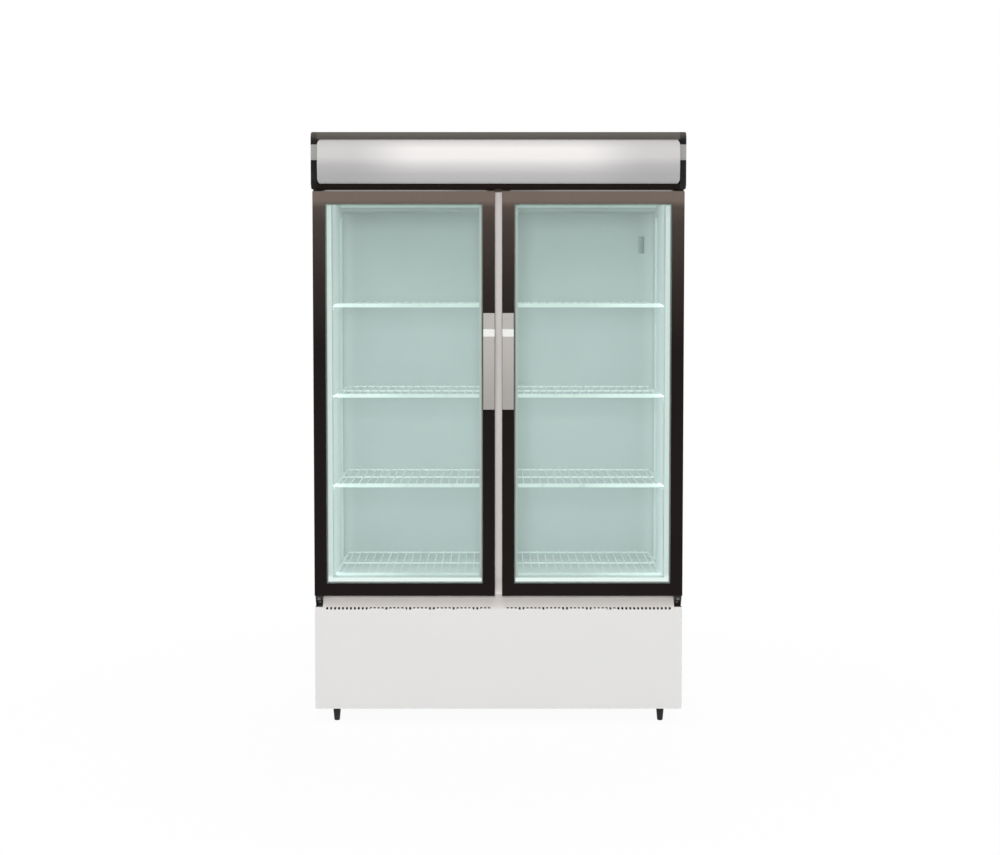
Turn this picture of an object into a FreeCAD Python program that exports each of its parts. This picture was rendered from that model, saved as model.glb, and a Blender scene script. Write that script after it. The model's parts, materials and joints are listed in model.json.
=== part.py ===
import FreeCAD, Part
import math
import os
from collections import namedtuple
from types import SimpleNamespace

import Sketcher

# Upright display refrigerator with two glazed, self-closing doors, in millimetres.
# X runs to the viewer's right, the doors face -Y, Z points up from the floor.

SIZES = (
    # cabinet
    ("cabinet_width", 1245, "outside of the two side walls"),
    ("overall_depth", 700, "front of the handles to the shell's rear edge"),
    ("shell_thick", 1.2, "steel sheet of the outer shell"),
    ("back_thick", 1, "steel sheet of the back panel and the rear grille"),
    ("frame_thick", 2, "plate of the front frame"),
    ("liner_thick", 1.5, "inner liner"),
    ("side_wall", 45, "outer face to inner face of a side wall"),
    ("back_wall", 50, "outer face to inner face of the back wall"),
    ("back_recess", 3, "back panel in from the shell's rear edge"),
    ("floor_wall", 55, "machine deck to inner floor"),
    ("roof_wall", 48, "cabinet top to inner ceiling"),
    ("corner_radius", 25, "rear corners of the inner liner"),
    ("mouth_border", 58, "side wall face to the door opening"),
    ("mouth_depth", 50, "depth of the door opening's frame"),
    ("sill_rise", 53, "door's lower edge to the opening's sill"),
    ("header_drop", 38, "door's upper edge down to the opening's header"),
    ("mullion_width", 130, "centre post between the doors"),
    ("mullion_chamfer", 14, "rear edges of the centre post"),
    # base
    ("foot_height", 48, "floor to the base tray"),
    ("foot_top_radius", 14.5, "collar of a foot"),
    ("foot_collar", 6, "height of a foot's collar"),
    ("foot_tread_radius", 9.5, "underside of a foot"),
    ("foot_edge", 1.5, "bevel round a foot's tread"),
    ("foot_stud_radius", 5, "levelling stud"),
    ("foot_stud_length", 22, "stud above the foot's collar"),
    ("foot_inset", 70, "cabinet side to the foot's axis"),
    ("foot_front_inset", 40, "front panel to the front feet's axis"),
    ("foot_rear_inset", 50, "shell's rear edge to the rear feet's axis"),
    ("nut_radius", 11, "weld nut over a foot"),
    ("nut_height", 10, "weld nut over a foot"),
    ("tray_thick", 2, "base tray"),
    ("tray_flange", 30, "upturned edge of the base tray"),
    ("base_height", 353, "base tray's underside to the machine deck"),
    ("panel_setback", 6, "front panel behind the doors' faces"),
    ("panel_thick", 1.5, "sheet of the front panel"),
    ("panel_face_height", 340, "upright face of the front panel"),
    ("panel_gap", 4, "front panel to the doors above"),
    ("panel_ledge_depth", 2, "top edge of the front panel off the front frame"),
    ("vent_width", 7, "one slot of the front panel's vent row"),
    ("vent_height", 7, "one slot of the front panel's vent row"),
    ("vent_pitch", 13.4, "slot to slot"),
    ("vent_margin", 38, "cabinet side to the outermost slot"),
    ("vent_middle", 28, "half of the plain stretch between the vent rows"),
    ("grille_setback", 14, "rear grille in from the shell's rear edge"),
    ("grille_slot_width", 60, "one slot of the rear grille"),
    ("grille_slot_height", 8, "one slot of the rear grille"),
    ("grille_row_pitch", 22, "row to row on the rear grille"),
    ("grille_column_pitch", 84, "column to column on the rear grille"),
    # doors
    ("handle_proud", 32, "handle in front of the door's face"),
    ("door_depth", 40, "front to back of a door frame"),
    ("gasket_gap", 12, "door frame to the front frame"),
    ("gasket_clearance", 0.3, "gasket off the front frame"),
    ("door_gap", 24, "between the two doors"),
    ("door_rise", 35, "machine deck to the doors' lower edge"),
    ("door_height", 1364, "door frame"),
    ("door_face", 41, "visible width of a door's frame"),
    ("door_bevel", 5, "bevel along the glass"),
    ("door_wall", 3, "wall of the door's hollow section"),
    ("glass_thick", 4, "one pane"),
    ("glass_space", 12, "between the panes"),
    ("glass_bite", 15, "pane's edge inside the frame"),
    ("glass_lip", 5.5, "frame's lip in front of the glass"),
    ("glass_clearance", 0.5, "pane to its groove"),
    ("spacer_width", 18, "spacer bar between the panes, seen face on"),
    ("bead_face", 38, "width of the frame behind the glass"),
    ("dart_width", 4, "gasket groove"),
    ("dart_depth", 7, "gasket groove"),
    ("dart_place", 22, "door's edge to the groove"),
    ("dart_clearance", 0.3, "gasket's dart in its groove"),
    ("gasket_width", 17, "gasket's sealing face"),
    ("gasket_base", 2.5, "gasket's mounting strip"),
    ("key_length", 64, "leg of a door's corner block"),
    ("key_clearance", 0.25, "corner block in the hollow section"),
    ("handle_width", 38, "pull handle"),
    ("handle_length", 323, "pull handle"),
    ("handle_rise", 634, "door's lower edge to the handle"),
    ("handle_strap", 4, "thickness of the handle"),
    ("handle_mount", 54, "upper part of the handle, flat on the door"),
    ("handle_slope", 24, "slanted part of the handle"),
    ("handle_edge", 1, "handle in from the door's free edge"),
    # hinges
    ("hinge_inset", 14, "door's edge to the hinge axis"),
    ("hinge_back", 16.5, "door's face to the hinge axis"),
    ("hinge_width", 24, "hinge bracket"),
    ("hinge_height", 40, "lower hinge bracket"),
    ("hinge_plate", 8, "thickness of the lower hinge bracket's top"),
    ("hinge_cheek", 4, "side walls of the lower hinge bracket"),
    ("hinge_reach", 8, "hinge axis to the bracket's front"),
    ("hinge_gap", 0.3, "door on the lower bracket"),
    ("hinge_head_gap", 1.2, "upper plate over the door"),
    ("hinge_head_plate", 3.6, "upper hinge plate"),
    ("hinge_tab", 46, "upper hinge's tab on the front frame"),
    ("pin_radius", 4, "hinge pins"),
    ("pin_length", 22, "hinge pin inside the door"),
    ("pin_hole_radius", 5.5, "hole in the door's rail round the pin"),
    ("pin_nut_radius", 7, "tension nut under the lower pin"),
    ("running_fit", 0.05, "radial play of pins and shafts"),
    # canopy
    ("canopy_gap", 6, "doors to the canopy"),
    ("canopy_height", 190, "canopy's underside to its top"),
    ("canopy_setback", 10, "canopy's lips behind the handles' faces"),
    ("canopy_overhang", 3, "canopy past the cabinet's sides"),
    ("canopy_skin", 3, "wall of the canopy housing"),
    ("canopy_flange", 40, "flange on the cabinet's top"),
    ("canopy_top_lip", 26, "lip above the sign panel"),
    ("canopy_low_lip", 18, "lip below the sign panel"),
    ("canopy_round", 14, "nose of the canopy's lips"),
    ("canopy_inner_round", 11, "inside of the canopy's nose"),
    ("canopy_cap", 21.5, "thickness of an end cap"),
    ("canopy_cap_back", 6, "end cap ahead of the front frame"),
    ("canopy_cap_round", 5, "edges of an end cap"),
    ("band_rise", 96, "canopy's underside to the band round an end cap"),
    ("band_height", 52, "band round an end cap"),
    ("band_depth", 1, "groove for the band round an end cap"),
    ("sign_thick", 3, "sign panel"),
    ("sign_bulge", 9, "crown of the sign panel"),
    ("sign_seat", 5, "sign panel's edge behind the lips"),
    ("sign_play", 0.3, "sign panel in its seat"),
    ("sign_corner", 22, "corners of the sign panel"),
    ("led_board_height", 24, "light board in the canopy"),
    ("led_board_thick", 2, "light board in the canopy"),
    ("led_board_margin", 40, "light board off the end caps"),
    ("led_lens_radius", 6, "one lens of the light board"),
    ("led_lens_pitch", 75, "lens to lens"),
    # shelves and their supports
    ("shelf_first", 41, "inner floor to the lowest shelf's top"),
    ("shelf_pitch", 309, "shelf to shelf"),
    ("shelf_side_gap", 16.5, "side wall to the shelf"),
    ("shelf_middle_gap", 6, "half of the gap between two shelves"),
    ("shelf_end_gap", 4, "shelf to the uprights in front and behind"),
    ("wire_radius", 2, "shelf wire"),
    ("wire_pitch", 28, "wire to wire"),
    ("wire_drop", 9, "wire's turned-down front end"),
    ("strip_height", 13, "flat strip along a shelf's front"),
    ("strip_thick", 2.5, "flat strip along a shelf's front"),
    ("strip_inset", 9, "shelf's side to the end of its front strip"),
    ("rod_radius", 3.5, "shelf's side rods"),
    ("cross_rod_radius", 3, "shelf's cross rods"),
    ("weld_sink", 0.5, "depth of a weld where rods cross"),
    ("upright_width", 24, "slotted upright"),
    ("upright_depth", 8, "slotted upright"),
    ("upright_wall", 1.5, "slotted upright"),
    ("upright_foot", 20, "inner floor to an upright's lower end"),
    ("upright_head", 20, "uprights below the evaporator cover"),
    ("upright_front", 46, "opening's frame to the front uprights"),
    ("upright_rear", 80, "back wall to the rear uprights"),
    ("slot_width", 5, "slot of an upright"),
    ("slot_height", 9, "slot of an upright"),
    ("slot_pitch", 51.5, "slot to slot"),
    ("clip_ledge", 22, "shelf clip"),
    ("clip_thick", 3, "shelf clip"),
    ("clip_drop", 16, "shelf clip"),
    ("clip_play", 0.4, "clip's hook in its slot"),
    # lights and sensor
    ("led_width", 10, "light bar, side to side"),
    ("led_depth", 22, "light bar, front to back"),
    ("led_wall", 2, "light bar's channel"),
    ("led_margin", 24, "light bar off the opening's sill and header"),
    ("probe_width", 20, "sensor cover"),
    ("probe_height", 60, "sensor cover"),
    ("probe_depth", 14, "sensor cover"),
    ("probe_side", 51, "side wall to the sensor cover's middle"),
    ("probe_drop", 314, "ceiling to the sensor cover's middle"),
    # evaporator
    ("cover_depth", 240, "evaporator cover, front to back"),
    ("cover_drop", 197, "ceiling to the evaporator cover's underside"),
    ("cover_side_gap", 16, "side wall to the evaporator cover"),
    ("cover_thick", 1.5, "evaporator cover"),
    ("cover_seam_width", 1.4, "seam in the cover's face"),
    ("cover_seam_height", 59, "seam in the cover's face"),
    ("cover_corner", 12.5, "rear corners of the cover, clear of the liner's"),
    ("return_rise", 69, "cover's underside to the return slots"),
    ("return_height", 98, "return slot in the cover's face"),
    ("return_pitch", 36, "return slot to return slot"),
    ("drip_lip", 22, "edge of the drip channel under the coil"),
    ("coil_depth", 66, "evaporator coil"),
    ("coil_height", 132, "evaporator coil"),
    ("coil_side", 117.5, "side wall to the evaporator coil"),
    ("coil_rise", 22, "evaporator coil over the drip channel"),
    ("coil_back_gap", 8, "evaporator coil off the back wall"),
    ("fin_thick", 0.8, "fin of either coil"),
    ("fin_pitch", 23, "fin to fin"),
    ("tube_radius", 5, "tube of either coil"),
    ("fan_side", 255.5, "side wall to an evaporator fan's axis"),
    ("fan_radius", 68, "evaporator fan"),
    ("fan_hub_radius", 22, "evaporator fan's hub"),
    ("fan_hub_height", 20, "evaporator fan's hub"),
    ("fan_rise", 8, "evaporator fan over the cover's floor"),
    ("shaft_radius", 4, "fan shafts"),
    ("motor_radius", 28, "evaporator fan motor"),
    ("motor_height", 36, "evaporator fan motor"),
    ("motor_gap", 3, "fan hub to its motor"),
    ("strap_width", 20, "motor straps"),
    ("strap_thick", 2.5, "motor straps"),
    ("strap_span", 92, "fan axis to a leg of its strap"),
    ("grille_bar_slot", 7, "slot of the fan grille"),
    ("grille_bar_pitch", 12, "slot to slot of the fan grille"),
    # refrigeration machine
    ("compressor_radius", 84, "compressor's can"),
    ("compressor_height", 185, "compressor's can"),
    ("compressor_seam", 4, "compressor's weld flange"),
    ("compressor_side", 371.3, "shell to the compressor's axis"),
    ("compressor_back", 276, "rear grille to the compressor's axis"),
    ("compressor_foot", 67, "compressor's can at its underside"),
    ("compressor_flare", 18, "height of the can's lower taper"),
    ("compressor_skirt", 111, "can's underside to its weld flange"),
    ("compressor_wall", 133, "can's underside to its lid"),
    ("compressor_crown", 18, "swell of the can's lid"),
    ("compressor_port", 78, "can's underside to its pipes"),
    ("terminal_rise", 37, "can's underside to its terminal cover"),
    ("terminal_height", 65, "compressor's terminal cover"),
    ("terminal_width", 68, "compressor's terminal cover"),
    ("terminal_reach", 113, "compressor's axis to its terminal cover's face"),
    ("sole_length", 220, "compressor's sole plate"),
    ("sole_width", 150, "compressor's sole plate"),
    ("sole_thick", 4, "compressor's sole plate"),
    ("sole_inset", 20, "sole plate's edge to a rubber mount"),
    ("mount_radius", 14, "rubber mount"),
    ("mount_height", 18, "rubber mount"),
    ("mount_waist", 11.2, "waist of a rubber mount"),
    ("mount_neck", 7.5, "neck of a rubber mount"),
    ("mount_play", 0.3, "neck in the sole plate"),
    ("condenser_side", 80.3, "shell to the condenser"),
    ("condenser_front", 40, "front frame to the condenser"),
    ("condenser_length", 322, "condenser"),
    ("condenser_depth", 62, "condenser"),
    ("condenser_height", 276, "condenser"),
    ("shroud_thick", 2, "condenser fan's shroud"),
    ("shroud_ring", 24, "depth of the shroud's ring"),
    ("cooling_fan_radius", 112, "condenser fan"),
    ("cooling_fan_hub", 34, "condenser fan's hub"),
    ("cooling_fan_height", 26, "depth of the condenser fan's hub"),
    ("cooling_fan_gap", 5, "shroud's plate to the condenser fan"),
    ("fan_tip_gap", 4, "fan tip to its ring"),
    ("cooling_motor_radius", 38, "condenser fan motor"),
    ("cooling_motor_length", 56, "condenser fan motor"),
    ("pan_length", 190, "evaporation tray"),
    ("pan_width", 150, "evaporation tray"),
    ("pan_height", 70, "evaporation tray"),
    ("pan_thick", 2, "evaporation tray"),
    ("pan_side_gap", 6, "weld nut to the evaporation tray"),
    ("pan_back_gap", 18, "rear grille to the evaporation tray"),
    ("pipe_radius", 5, "refrigerant pipe"),
    ("pipe_bend", 24, "bend of a pipe"),
    ("drier_radius", 14, "filter drier"),
    ("drier_length", 90, "filter drier"),
    ("pipe_lane", 168, "compressor's axis to the discharge pipe's run"),
    ("hose_radius", 9, "drain hose"),
    ("hose_drop", 72, "machine deck down to the drain hose's run"),
    ("hose_end", 35, "base tray to the drain hose's end"),
    ("riser_side", 77.5, "side wall to the riser channel"),
    ("riser_width", 64, "riser channel in the back wall"),
    ("riser_depth", 28, "riser channel in the back wall"),
    ("riser_spread", 15, "riser channel's middle to pipe or hose"),
    ("hole_play", 0.5, "pipe in a sheet's hole"),
    ("control_length", 170, "control box"),
    ("control_depth", 120, "control box"),
    ("control_height", 90, "control box"),
    ("control_side_gap", 40, "shell to the control box"),
    ("control_front_gap", 60, "front frame to the control box"),
    ("control_round", 6, "edges of the control box"),
    ("gland_radius", 11, "mains inlet gland"),
    ("gland_reach", 12, "mains inlet gland behind the rear grille"),
    ("gland_side", 60, "cabinet side to the mains inlet gland"),
    ("gland_rise", 60, "base tray to the mains inlet gland"),
)
SHELF_LEVELS = 4
EVAPORATOR_BLADES = 5
EVAPORATOR_ROWS = 4
CONDENSER_BLADES = 5
CONDENSER_ROWS = 5
BLADE_ROOT_DEGREES = 42
BLADE_TIP_DEGREES = 20

doc = FreeCAD.newDocument("display_refrigerator")
nodes = {}


class Size:
    """A length that keeps its expression beside its value."""

    def __init__(self, text, value):
        self.text = text
        self.value = float(value)

    def __float__(self):
        return self.value

    def __neg__(self):
        return Size(f"(-{self.text})", -self.value)

    def __add__(self, other):
        other = as_size(other)
        return Size(f"({self.text} + {other.text})", self.value + other.value)

    def __sub__(self, other):
        other = as_size(other)
        return Size(f"({self.text} - {other.text})", self.value - other.value)

    def __mul__(self, other):
        other = as_size(other)
        return Size(f"({self.text} * {other.text})", self.value * other.value)

    def __truediv__(self, other):
        other = as_size(other)
        return Size(f"({self.text} / {other.text})", self.value / other.value)

    def __radd__(self, other):
        return as_size(other) + self

    def __rsub__(self, other):
        return as_size(other) - self

    def __rmul__(self, other):
        return as_size(other) * self


def as_size(value):
    return value if isinstance(value, Size) else Size(f"({float(value):.9g})", value)


def fill_sheet():
    sheet = doc.addObject("Spreadsheet::Sheet", "Sizes")
    for row, (alias, value, meaning) in enumerate(SIZES, 1):
        sheet.set(f"A{row}", alias)
        sheet.set(f"B{row}", str(value))
        sheet.set(f"C{row}", meaning)
        sheet.setAlias(f"B{row}", alias)
    doc.recompute()
    return SimpleNamespace(**{alias: Size(f"Sizes.{alias}", sheet.get(alias)) for alias, _, _ in SIZES})


S = fill_sheet()
layout = doc.addObject("Spreadsheet::Sheet", "Layout")
layout_rows = []


def derive(alias, size):
    """Keep a worked-out length in its own cell and return a reference to it."""
    layout_rows.append(alias)
    row = len(layout_rows)
    layout.set(f"A{row}", alias)
    layout.set(f"B{row}", f"={size.text}")
    layout.setAlias(f"B{row}", alias)
    return Size(f"Layout.{alias}", size.value)


# Levels above the floor
BASE = S.foot_height
DECK = derive("deck_level", BASE + S.base_height)
DOOR_LOW = derive("door_low", DECK + S.door_rise)
DOOR_TOP = derive("door_top", DOOR_LOW + S.door_height)
CANOPY_LOW = derive("canopy_low", DOOR_TOP + S.canopy_gap)
TOP = derive("overall_height", CANOPY_LOW + S.canopy_height)
CABINET_TOP = derive("cabinet_top", TOP - S.canopy_skin)
FLOOR = derive("inner_floor", DECK + S.floor_wall)
CEILING = derive("inner_ceiling", CABINET_TOP - S.roof_wall)
SILL = derive("mouth_sill", DOOR_LOW + S.sill_rise)
HEADER = derive("mouth_header", DOOR_TOP - S.header_drop)
COVER_LOW = derive("cover_low", CEILING - S.cover_drop)
TRAY_TOP = derive("tray_top", BASE + S.tray_thick)

# Distances from the middle to the side
HALF = derive("half_width", S.cabinet_width / 2)
SHELL_IN = derive("shell_inside", HALF - S.shell_thick)
INNER = derive("inner_half", HALF - S.side_wall)
MOUTH = derive("mouth_half", HALF - S.mouth_border)
MULLION = derive("mullion_half", S.mullion_width / 2)

# Distances from the front to the back
BACK = derive("back_face", S.overall_depth / 2)
HANDLE_FACE = derive("handle_face", -BACK)
DOOR_FACE = derive("door_front", HANDLE_FACE + S.handle_proud)
DOOR_BACK = derive("door_back", DOOR_FACE + S.door_depth)
FACE = derive("front_frame_face", DOOR_BACK + S.gasket_gap)
SHELL_FRONT = derive("shell_front", FACE + S.frame_thick)
LIP = derive("mouth_back", FACE + S.mouth_depth)
BACK_IN = derive("back_panel_inside", BACK - S.back_recess - S.back_thick)
REAR = derive("inner_rear", BACK - S.back_wall)
PANEL = derive("panel_face", DOOR_FACE + S.panel_setback)
GRILLE = derive("grille_face", BACK - S.grille_setback)
NOSE = derive("canopy_nose", HANDLE_FACE + S.canopy_setback)
COVER_FACE = derive("cover_face", REAR - S.cover_depth)

# Places of what is inside
FAN_X = derive("fan_axis", INNER - S.fan_side)
COIL_HALF = derive("coil_half", INNER - S.coil_side)
RISER_X = derive("riser_axis", INNER - S.riser_side)
RISER_Y = derive("riser_middle", (REAR + BACK_IN) / 2)
COMPRESSOR_X = derive("compressor_axis", SHELL_IN - S.compressor_side)
COMPRESSOR_Y = derive("compressor_middle", GRILLE - S.compressor_back)
CONDENSER_LEFT = derive("condenser_left", S.condenser_side - SHELL_IN)
CONDENSER_X = derive("condenser_axis", CONDENSER_LEFT + S.condenser_length / 2)

SIDES = {"left": -1, "right": 1}
ORIGIN_ROLE = {
    "XY": "XY_Plane", "XZ": "XZ_Plane", "YZ": "YZ_Plane",
    "X": "X_Axis", "Y": "Y_Axis", "Z": "Z_Axis",
}
AXIS_TURN = {
    "X": FreeCAD.Rotation(FreeCAD.Vector(0, 1, 0), 90),
    "Y": FreeCAD.Rotation(FreeCAD.Vector(1, 0, 0), -90),
    "Z": FreeCAD.Rotation(),
}
Circle = namedtuple("Circle", "u v radius")
CORNER_BOW = 1 - math.sqrt(0.5)


def bind(thing, prop, size):
    thing.setExpression(prop, as_size(size).text)


def place(thing, x=0, y=0, z=0, turn=None):
    if turn is not None:
        thing.Placement = FreeCAD.Placement(FreeCAD.Vector(), turn)
    for axis, size in zip("xyz", (x, y, z)):
        bind(thing, f".Placement.Base.{axis}", size)
    return thing


def rectangle(u_low, v_low, u_high, v_high):
    return [(u_low, v_low), (u_high, v_low), (u_high, v_high), (u_low, v_high)]


def rounded(u_low, v_low, u_high, v_high, radius):
    """A rectangle with arcs at its corners."""
    bow = radius * -CORNER_BOW
    return [
        (u_low + radius, v_low), (u_high - radius, v_low, bow), (u_high, v_low + radius),
        (u_high, v_high - radius, bow), (u_high - radius, v_high), (u_low + radius, v_high, bow),
        (u_low, v_high - radius), (u_low, v_low + radius, bow)]


def draw_circle(sketch, loop):
    centre = FreeCAD.Vector(float(loop.u), float(loop.v), 0)
    shape = Part.Circle(centre, FreeCAD.Vector(0, 0, 1), float(loop.radius))
    index = sketch.addGeometry(shape, False)
    for kind, size in (("DistanceX", loop.u), ("DistanceY", loop.v)):
        constraint = sketch.addConstraint(Sketcher.Constraint(kind, index, 3, float(size)))
        bind(sketch, f"Constraints[{constraint}]", size)
    constraint = sketch.addConstraint(Sketcher.Constraint("Radius", index, float(loop.radius)))
    bind(sketch, f"Constraints[{constraint}]", loop.radius)


def draw_outline(sketch, points):
    """A closed outline; a third value at a point bows the side that starts there."""
    corners = [FreeCAD.Vector(float(point[0]), float(point[1]), 0) for point in points]
    sides = []
    for start, end, point in zip(corners, corners[1:] + corners[:1], points):
        if len(point) == 2:
            index = sketch.addGeometry(Part.LineSegment(start, end), False)
            sides.append((index, 1, 2))
            continue
        across = FreeCAD.Vector(start.y - end.y, end.x - start.x, 0).normalize()
        crown = (start + end) * 0.5 + across * float(point[2])
        forward = float(point[2]) < 0
        first, last = (start, end) if forward else (end, start)
        index = sketch.addGeometry(Part.Arc(first, crown, last), False)
        sides.append((index, 1, 2) if forward else (index, 2, 1))
    for here, after in zip(sides, sides[1:] + sides[:1]):
        sketch.addConstraint(Sketcher.Constraint("Coincident", here[0], here[2], after[0], after[1]))
    for side, point in zip(sides, points):
        for kind, size in (("DistanceX", point[0]), ("DistanceY", point[1])):
            constraint = sketch.addConstraint(Sketcher.Constraint(kind, side[0], side[1], float(size)))
            bind(sketch, f"Constraints[{constraint}]", size)
    for side, point, after in zip(sides, points, points[1:] + points[:1]):
        if len(point) == 3:
            run = as_size(after[0]) - point[0]
            rise = as_size(after[1]) - point[1]
            bow = as_size(point[2])
            radius = ((run * run + rise * rise) / 4 + bow * bow) / (2 * bow)
            radius = radius if float(radius) > 0 else -radius
            constraint = sketch.addConstraint(Sketcher.Constraint("Radius", side[0], float(radius)))
            bind(sketch, f"Constraints[{constraint}]", radius)


class Piece:
    """A body built feature by feature on its own origin planes.

    Pads and pockets start at a level of their plane and run towards +X, +Y or +Z.
    """

    def __init__(self, name):
        self.body = doc.addObject("PartDesign::Body", name)

    def origin(self, role):
        return next(f for f in self.body.Origin.OriginFeatures if f.Role == ORIGIN_ROLE[role])

    def sketch(self, plane, level, loops):
        sketch = self.body.newObject("Sketcher::SketchObject", f"{self.body.Name}_sketch")
        sketch.AttachmentSupport = [(self.origin(plane), "")]
        sketch.MapMode = "FlatFace"
        bind(sketch, ".AttachmentOffset.Base.z", -as_size(level) if plane == "XZ" else level)
        for loop in loops:
            if isinstance(loop, Circle):
                draw_circle(sketch, loop)
            else:
                draw_outline(sketch, loop)
        return sketch

    def feature(self, kind, sketch):
        feature = self.body.newObject(f"PartDesign::{kind}", f"{self.body.Name}_{kind}")
        feature.Profile = sketch
        return feature

    def pad(self, plane, level, length, *loops):
        feature = self.feature("Pad", self.sketch(plane, level, loops))
        bind(feature, "Length", length)
        feature.Reversed = plane == "XZ"
        return feature

    def pocket(self, plane, level, length, *loops):
        feature = self.feature("Pocket", self.sketch(plane, level, loops))
        bind(feature, "Length", length)
        feature.Reversed = plane != "XZ"
        return feature

    def revolve(self, *loops):
        sketch = self.sketch("XZ", 0, loops)
        feature = self.feature("Revolution", sketch)
        feature.ReferenceAxis = (sketch, ["V_Axis"])
        feature.Angle = 360
        return feature

    def loft(self, plane, *stations):
        sketches = [self.sketch(plane, level, [loop]) for level, loop in stations]
        feature = self.feature("AdditiveLoft", sketches[0])
        feature.Sections = sketches[1:]
        feature.Ruled = True
        return feature

    def row(self, features, axis, pitch, count):
        pattern = self.body.newObject("PartDesign::LinearPattern", f"{self.body.Name}_row")
        pattern.Originals = features
        pattern.Direction = (self.origin(axis), [""])
        bind(pattern, "Length", pitch * (count - 1))
        pattern.Occurrences = count
        self.body.Tip = pattern
        return pattern

    def ring(self, features, axis, count):
        pattern = self.body.newObject("PartDesign::PolarPattern", f"{self.body.Name}_ring")
        pattern.Originals = features
        pattern.Axis = (self.origin(axis), [""])
        pattern.Angle = 360
        pattern.Occurrences = count
        self.body.Tip = pattern
        return pattern

    def round(self, radius, *spots):
        """Round the edges that pass nearest to the given spots."""
        doc.recompute()
        base = self.body.Tip
        names = []
        for spot in spots:
            here = Part.Vertex(FreeCAD.Vector(*(float(size) for size in spot)))
            gaps = [edge.distToShape(here)[0] for edge in base.Shape.Edges]
            names.append(f"Edge{gaps.index(min(gaps)) + 1}")
        fillet = self.body.newObject("PartDesign::Fillet", f"{self.body.Name}_round")
        fillet.Base = (base, names)
        bind(fillet, "Radius", radius)
        return fillet


def box(name, low, high):
    shape = doc.addObject("Part::Box", name)
    for prop, start, end in zip(("Length", "Width", "Height"), low, high):
        bind(shape, prop, as_size(end) - start)
    return place(shape, *low)


def cylinder(name, x, y, z, radius, length, axis="Z"):
    shape = doc.addObject("Part::Cylinder", name)
    bind(shape, "Radius", radius)
    bind(shape, "Height", length)
    return place(shape, x, y, z, AXIS_TURN[axis])


def cut(name, base, *tools):
    tool = tools[0] if len(tools) == 1 else fuse(f"{name}_tools", *tools)
    shape = doc.addObject("Part::Cut", name)
    shape.Base = base
    shape.Tool = tool
    return shape


def fuse(name, *shapes):
    shape = doc.addObject("Part::MultiFuse", name)
    shape.Shapes = list(shapes)
    return shape


def common(name, *shapes):
    shape = doc.addObject("Part::MultiCommon", name)
    shape.Shapes = list(shapes)
    return shape


def compound(name, *shapes):
    shape = doc.addObject("Part::Compound", name)
    shape.Links = list(shapes)
    return shape


def copy_of(name, thing, x=0, y=0, z=0, turn=None):
    link = doc.addObject("App::Link", name)
    link.LinkedObject = thing
    link.LinkTransform = False
    return place(link, x, y, z, turn)


def yaw(degrees):
    return FreeCAD.Rotation(FreeCAD.Vector(0, 0, 1), degrees)


def node(label, thing):
    thing.Label = label
    nodes[label] = thing


def pipe(name, radius, bend, points):
    """A round bar through the points, with an arc of the bend radius at each corner."""
    spots = [FreeCAD.Vector(*(float(size) for size in point)) for point in points]
    edges = []
    start = spots[0]
    for before, corner, after in zip(spots, spots[1:], spots[2:]):
        inward = (before - corner).normalize()
        outward = (after - corner).normalize()
        half_turn = inward.getAngle(outward) / 2
        reach = float(bend) / math.tan(half_turn)
        middle = corner + (inward + outward).normalize() * (float(bend) / math.sin(half_turn) - float(bend))
        edges.append(Part.LineSegment(start, corner + inward * reach).toShape())
        edges.append(Part.Arc(corner + inward * reach, middle, corner + outward * reach).toShape())
        start = corner + outward * reach
    edges.append(Part.LineSegment(start, spots[-1]).toShape())
    ring = Part.Wire(Part.Circle(spots[0], spots[1] - spots[0], float(radius)).toShape())
    shape = doc.addObject("Part::Feature", name)
    shape.Shape = Part.Wire(edges).makePipeShell([ring], True, False)
    return shape


# Cabinet

def outer_shell():
    piece = Piece("outer_shell")
    depth = BACK - SHELL_FRONT
    inside_top = CABINET_TOP - S.shell_thick
    piece.pad("XZ", SHELL_FRONT, depth, [
        (-HALF, BASE), (-HALF, CABINET_TOP), (HALF, CABINET_TOP), (HALF, BASE),
        (SHELL_IN, BASE), (SHELL_IN, inside_top), (-SHELL_IN, inside_top), (-SHELL_IN, BASE)])
    piece.pad("XY", DECK, S.shell_thick, rectangle(-SHELL_IN, SHELL_FRONT, SHELL_IN, BACK_IN),
              riser_outline())
    node("outer_shell", piece.body)


def riser_outline():
    """Plan of the channel that carries the suction pipe and the drain hose up the back wall."""
    half = S.riser_width / 2
    deep = S.riser_depth / 2
    return rectangle(RISER_X - half, RISER_Y - deep, RISER_X + half, RISER_Y + deep)


def back_panel():
    piece = Piece("back_panel")
    top = CABINET_TOP - S.shell_thick
    piece.pad("XZ", BACK_IN, S.back_thick, rectangle(-SHELL_IN, DECK, SHELL_IN, top))
    node("back_panel", piece.body)


def hollow(name, skin):
    """The inner space grown by a skin, with the door opening's frame ahead of it."""
    room = Piece(f"{name}_room")
    side = INNER + skin
    rear = REAR + skin
    room.pad("XY", FLOOR - skin, CEILING - FLOOR + 2 * skin, rectangle(-side, LIP - skin, side, rear))
    middle = (FLOOR + CEILING) / 2
    room.round(S.corner_radius + skin, (-side, rear, middle), (side, rear, middle))
    low = (-MOUTH - skin, SHELL_FRONT, SILL - skin)
    high = (MOUTH + skin, LIP, HEADER + skin)
    return fuse(name, room.body, box(f"{name}_mouth", low, high))


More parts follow.
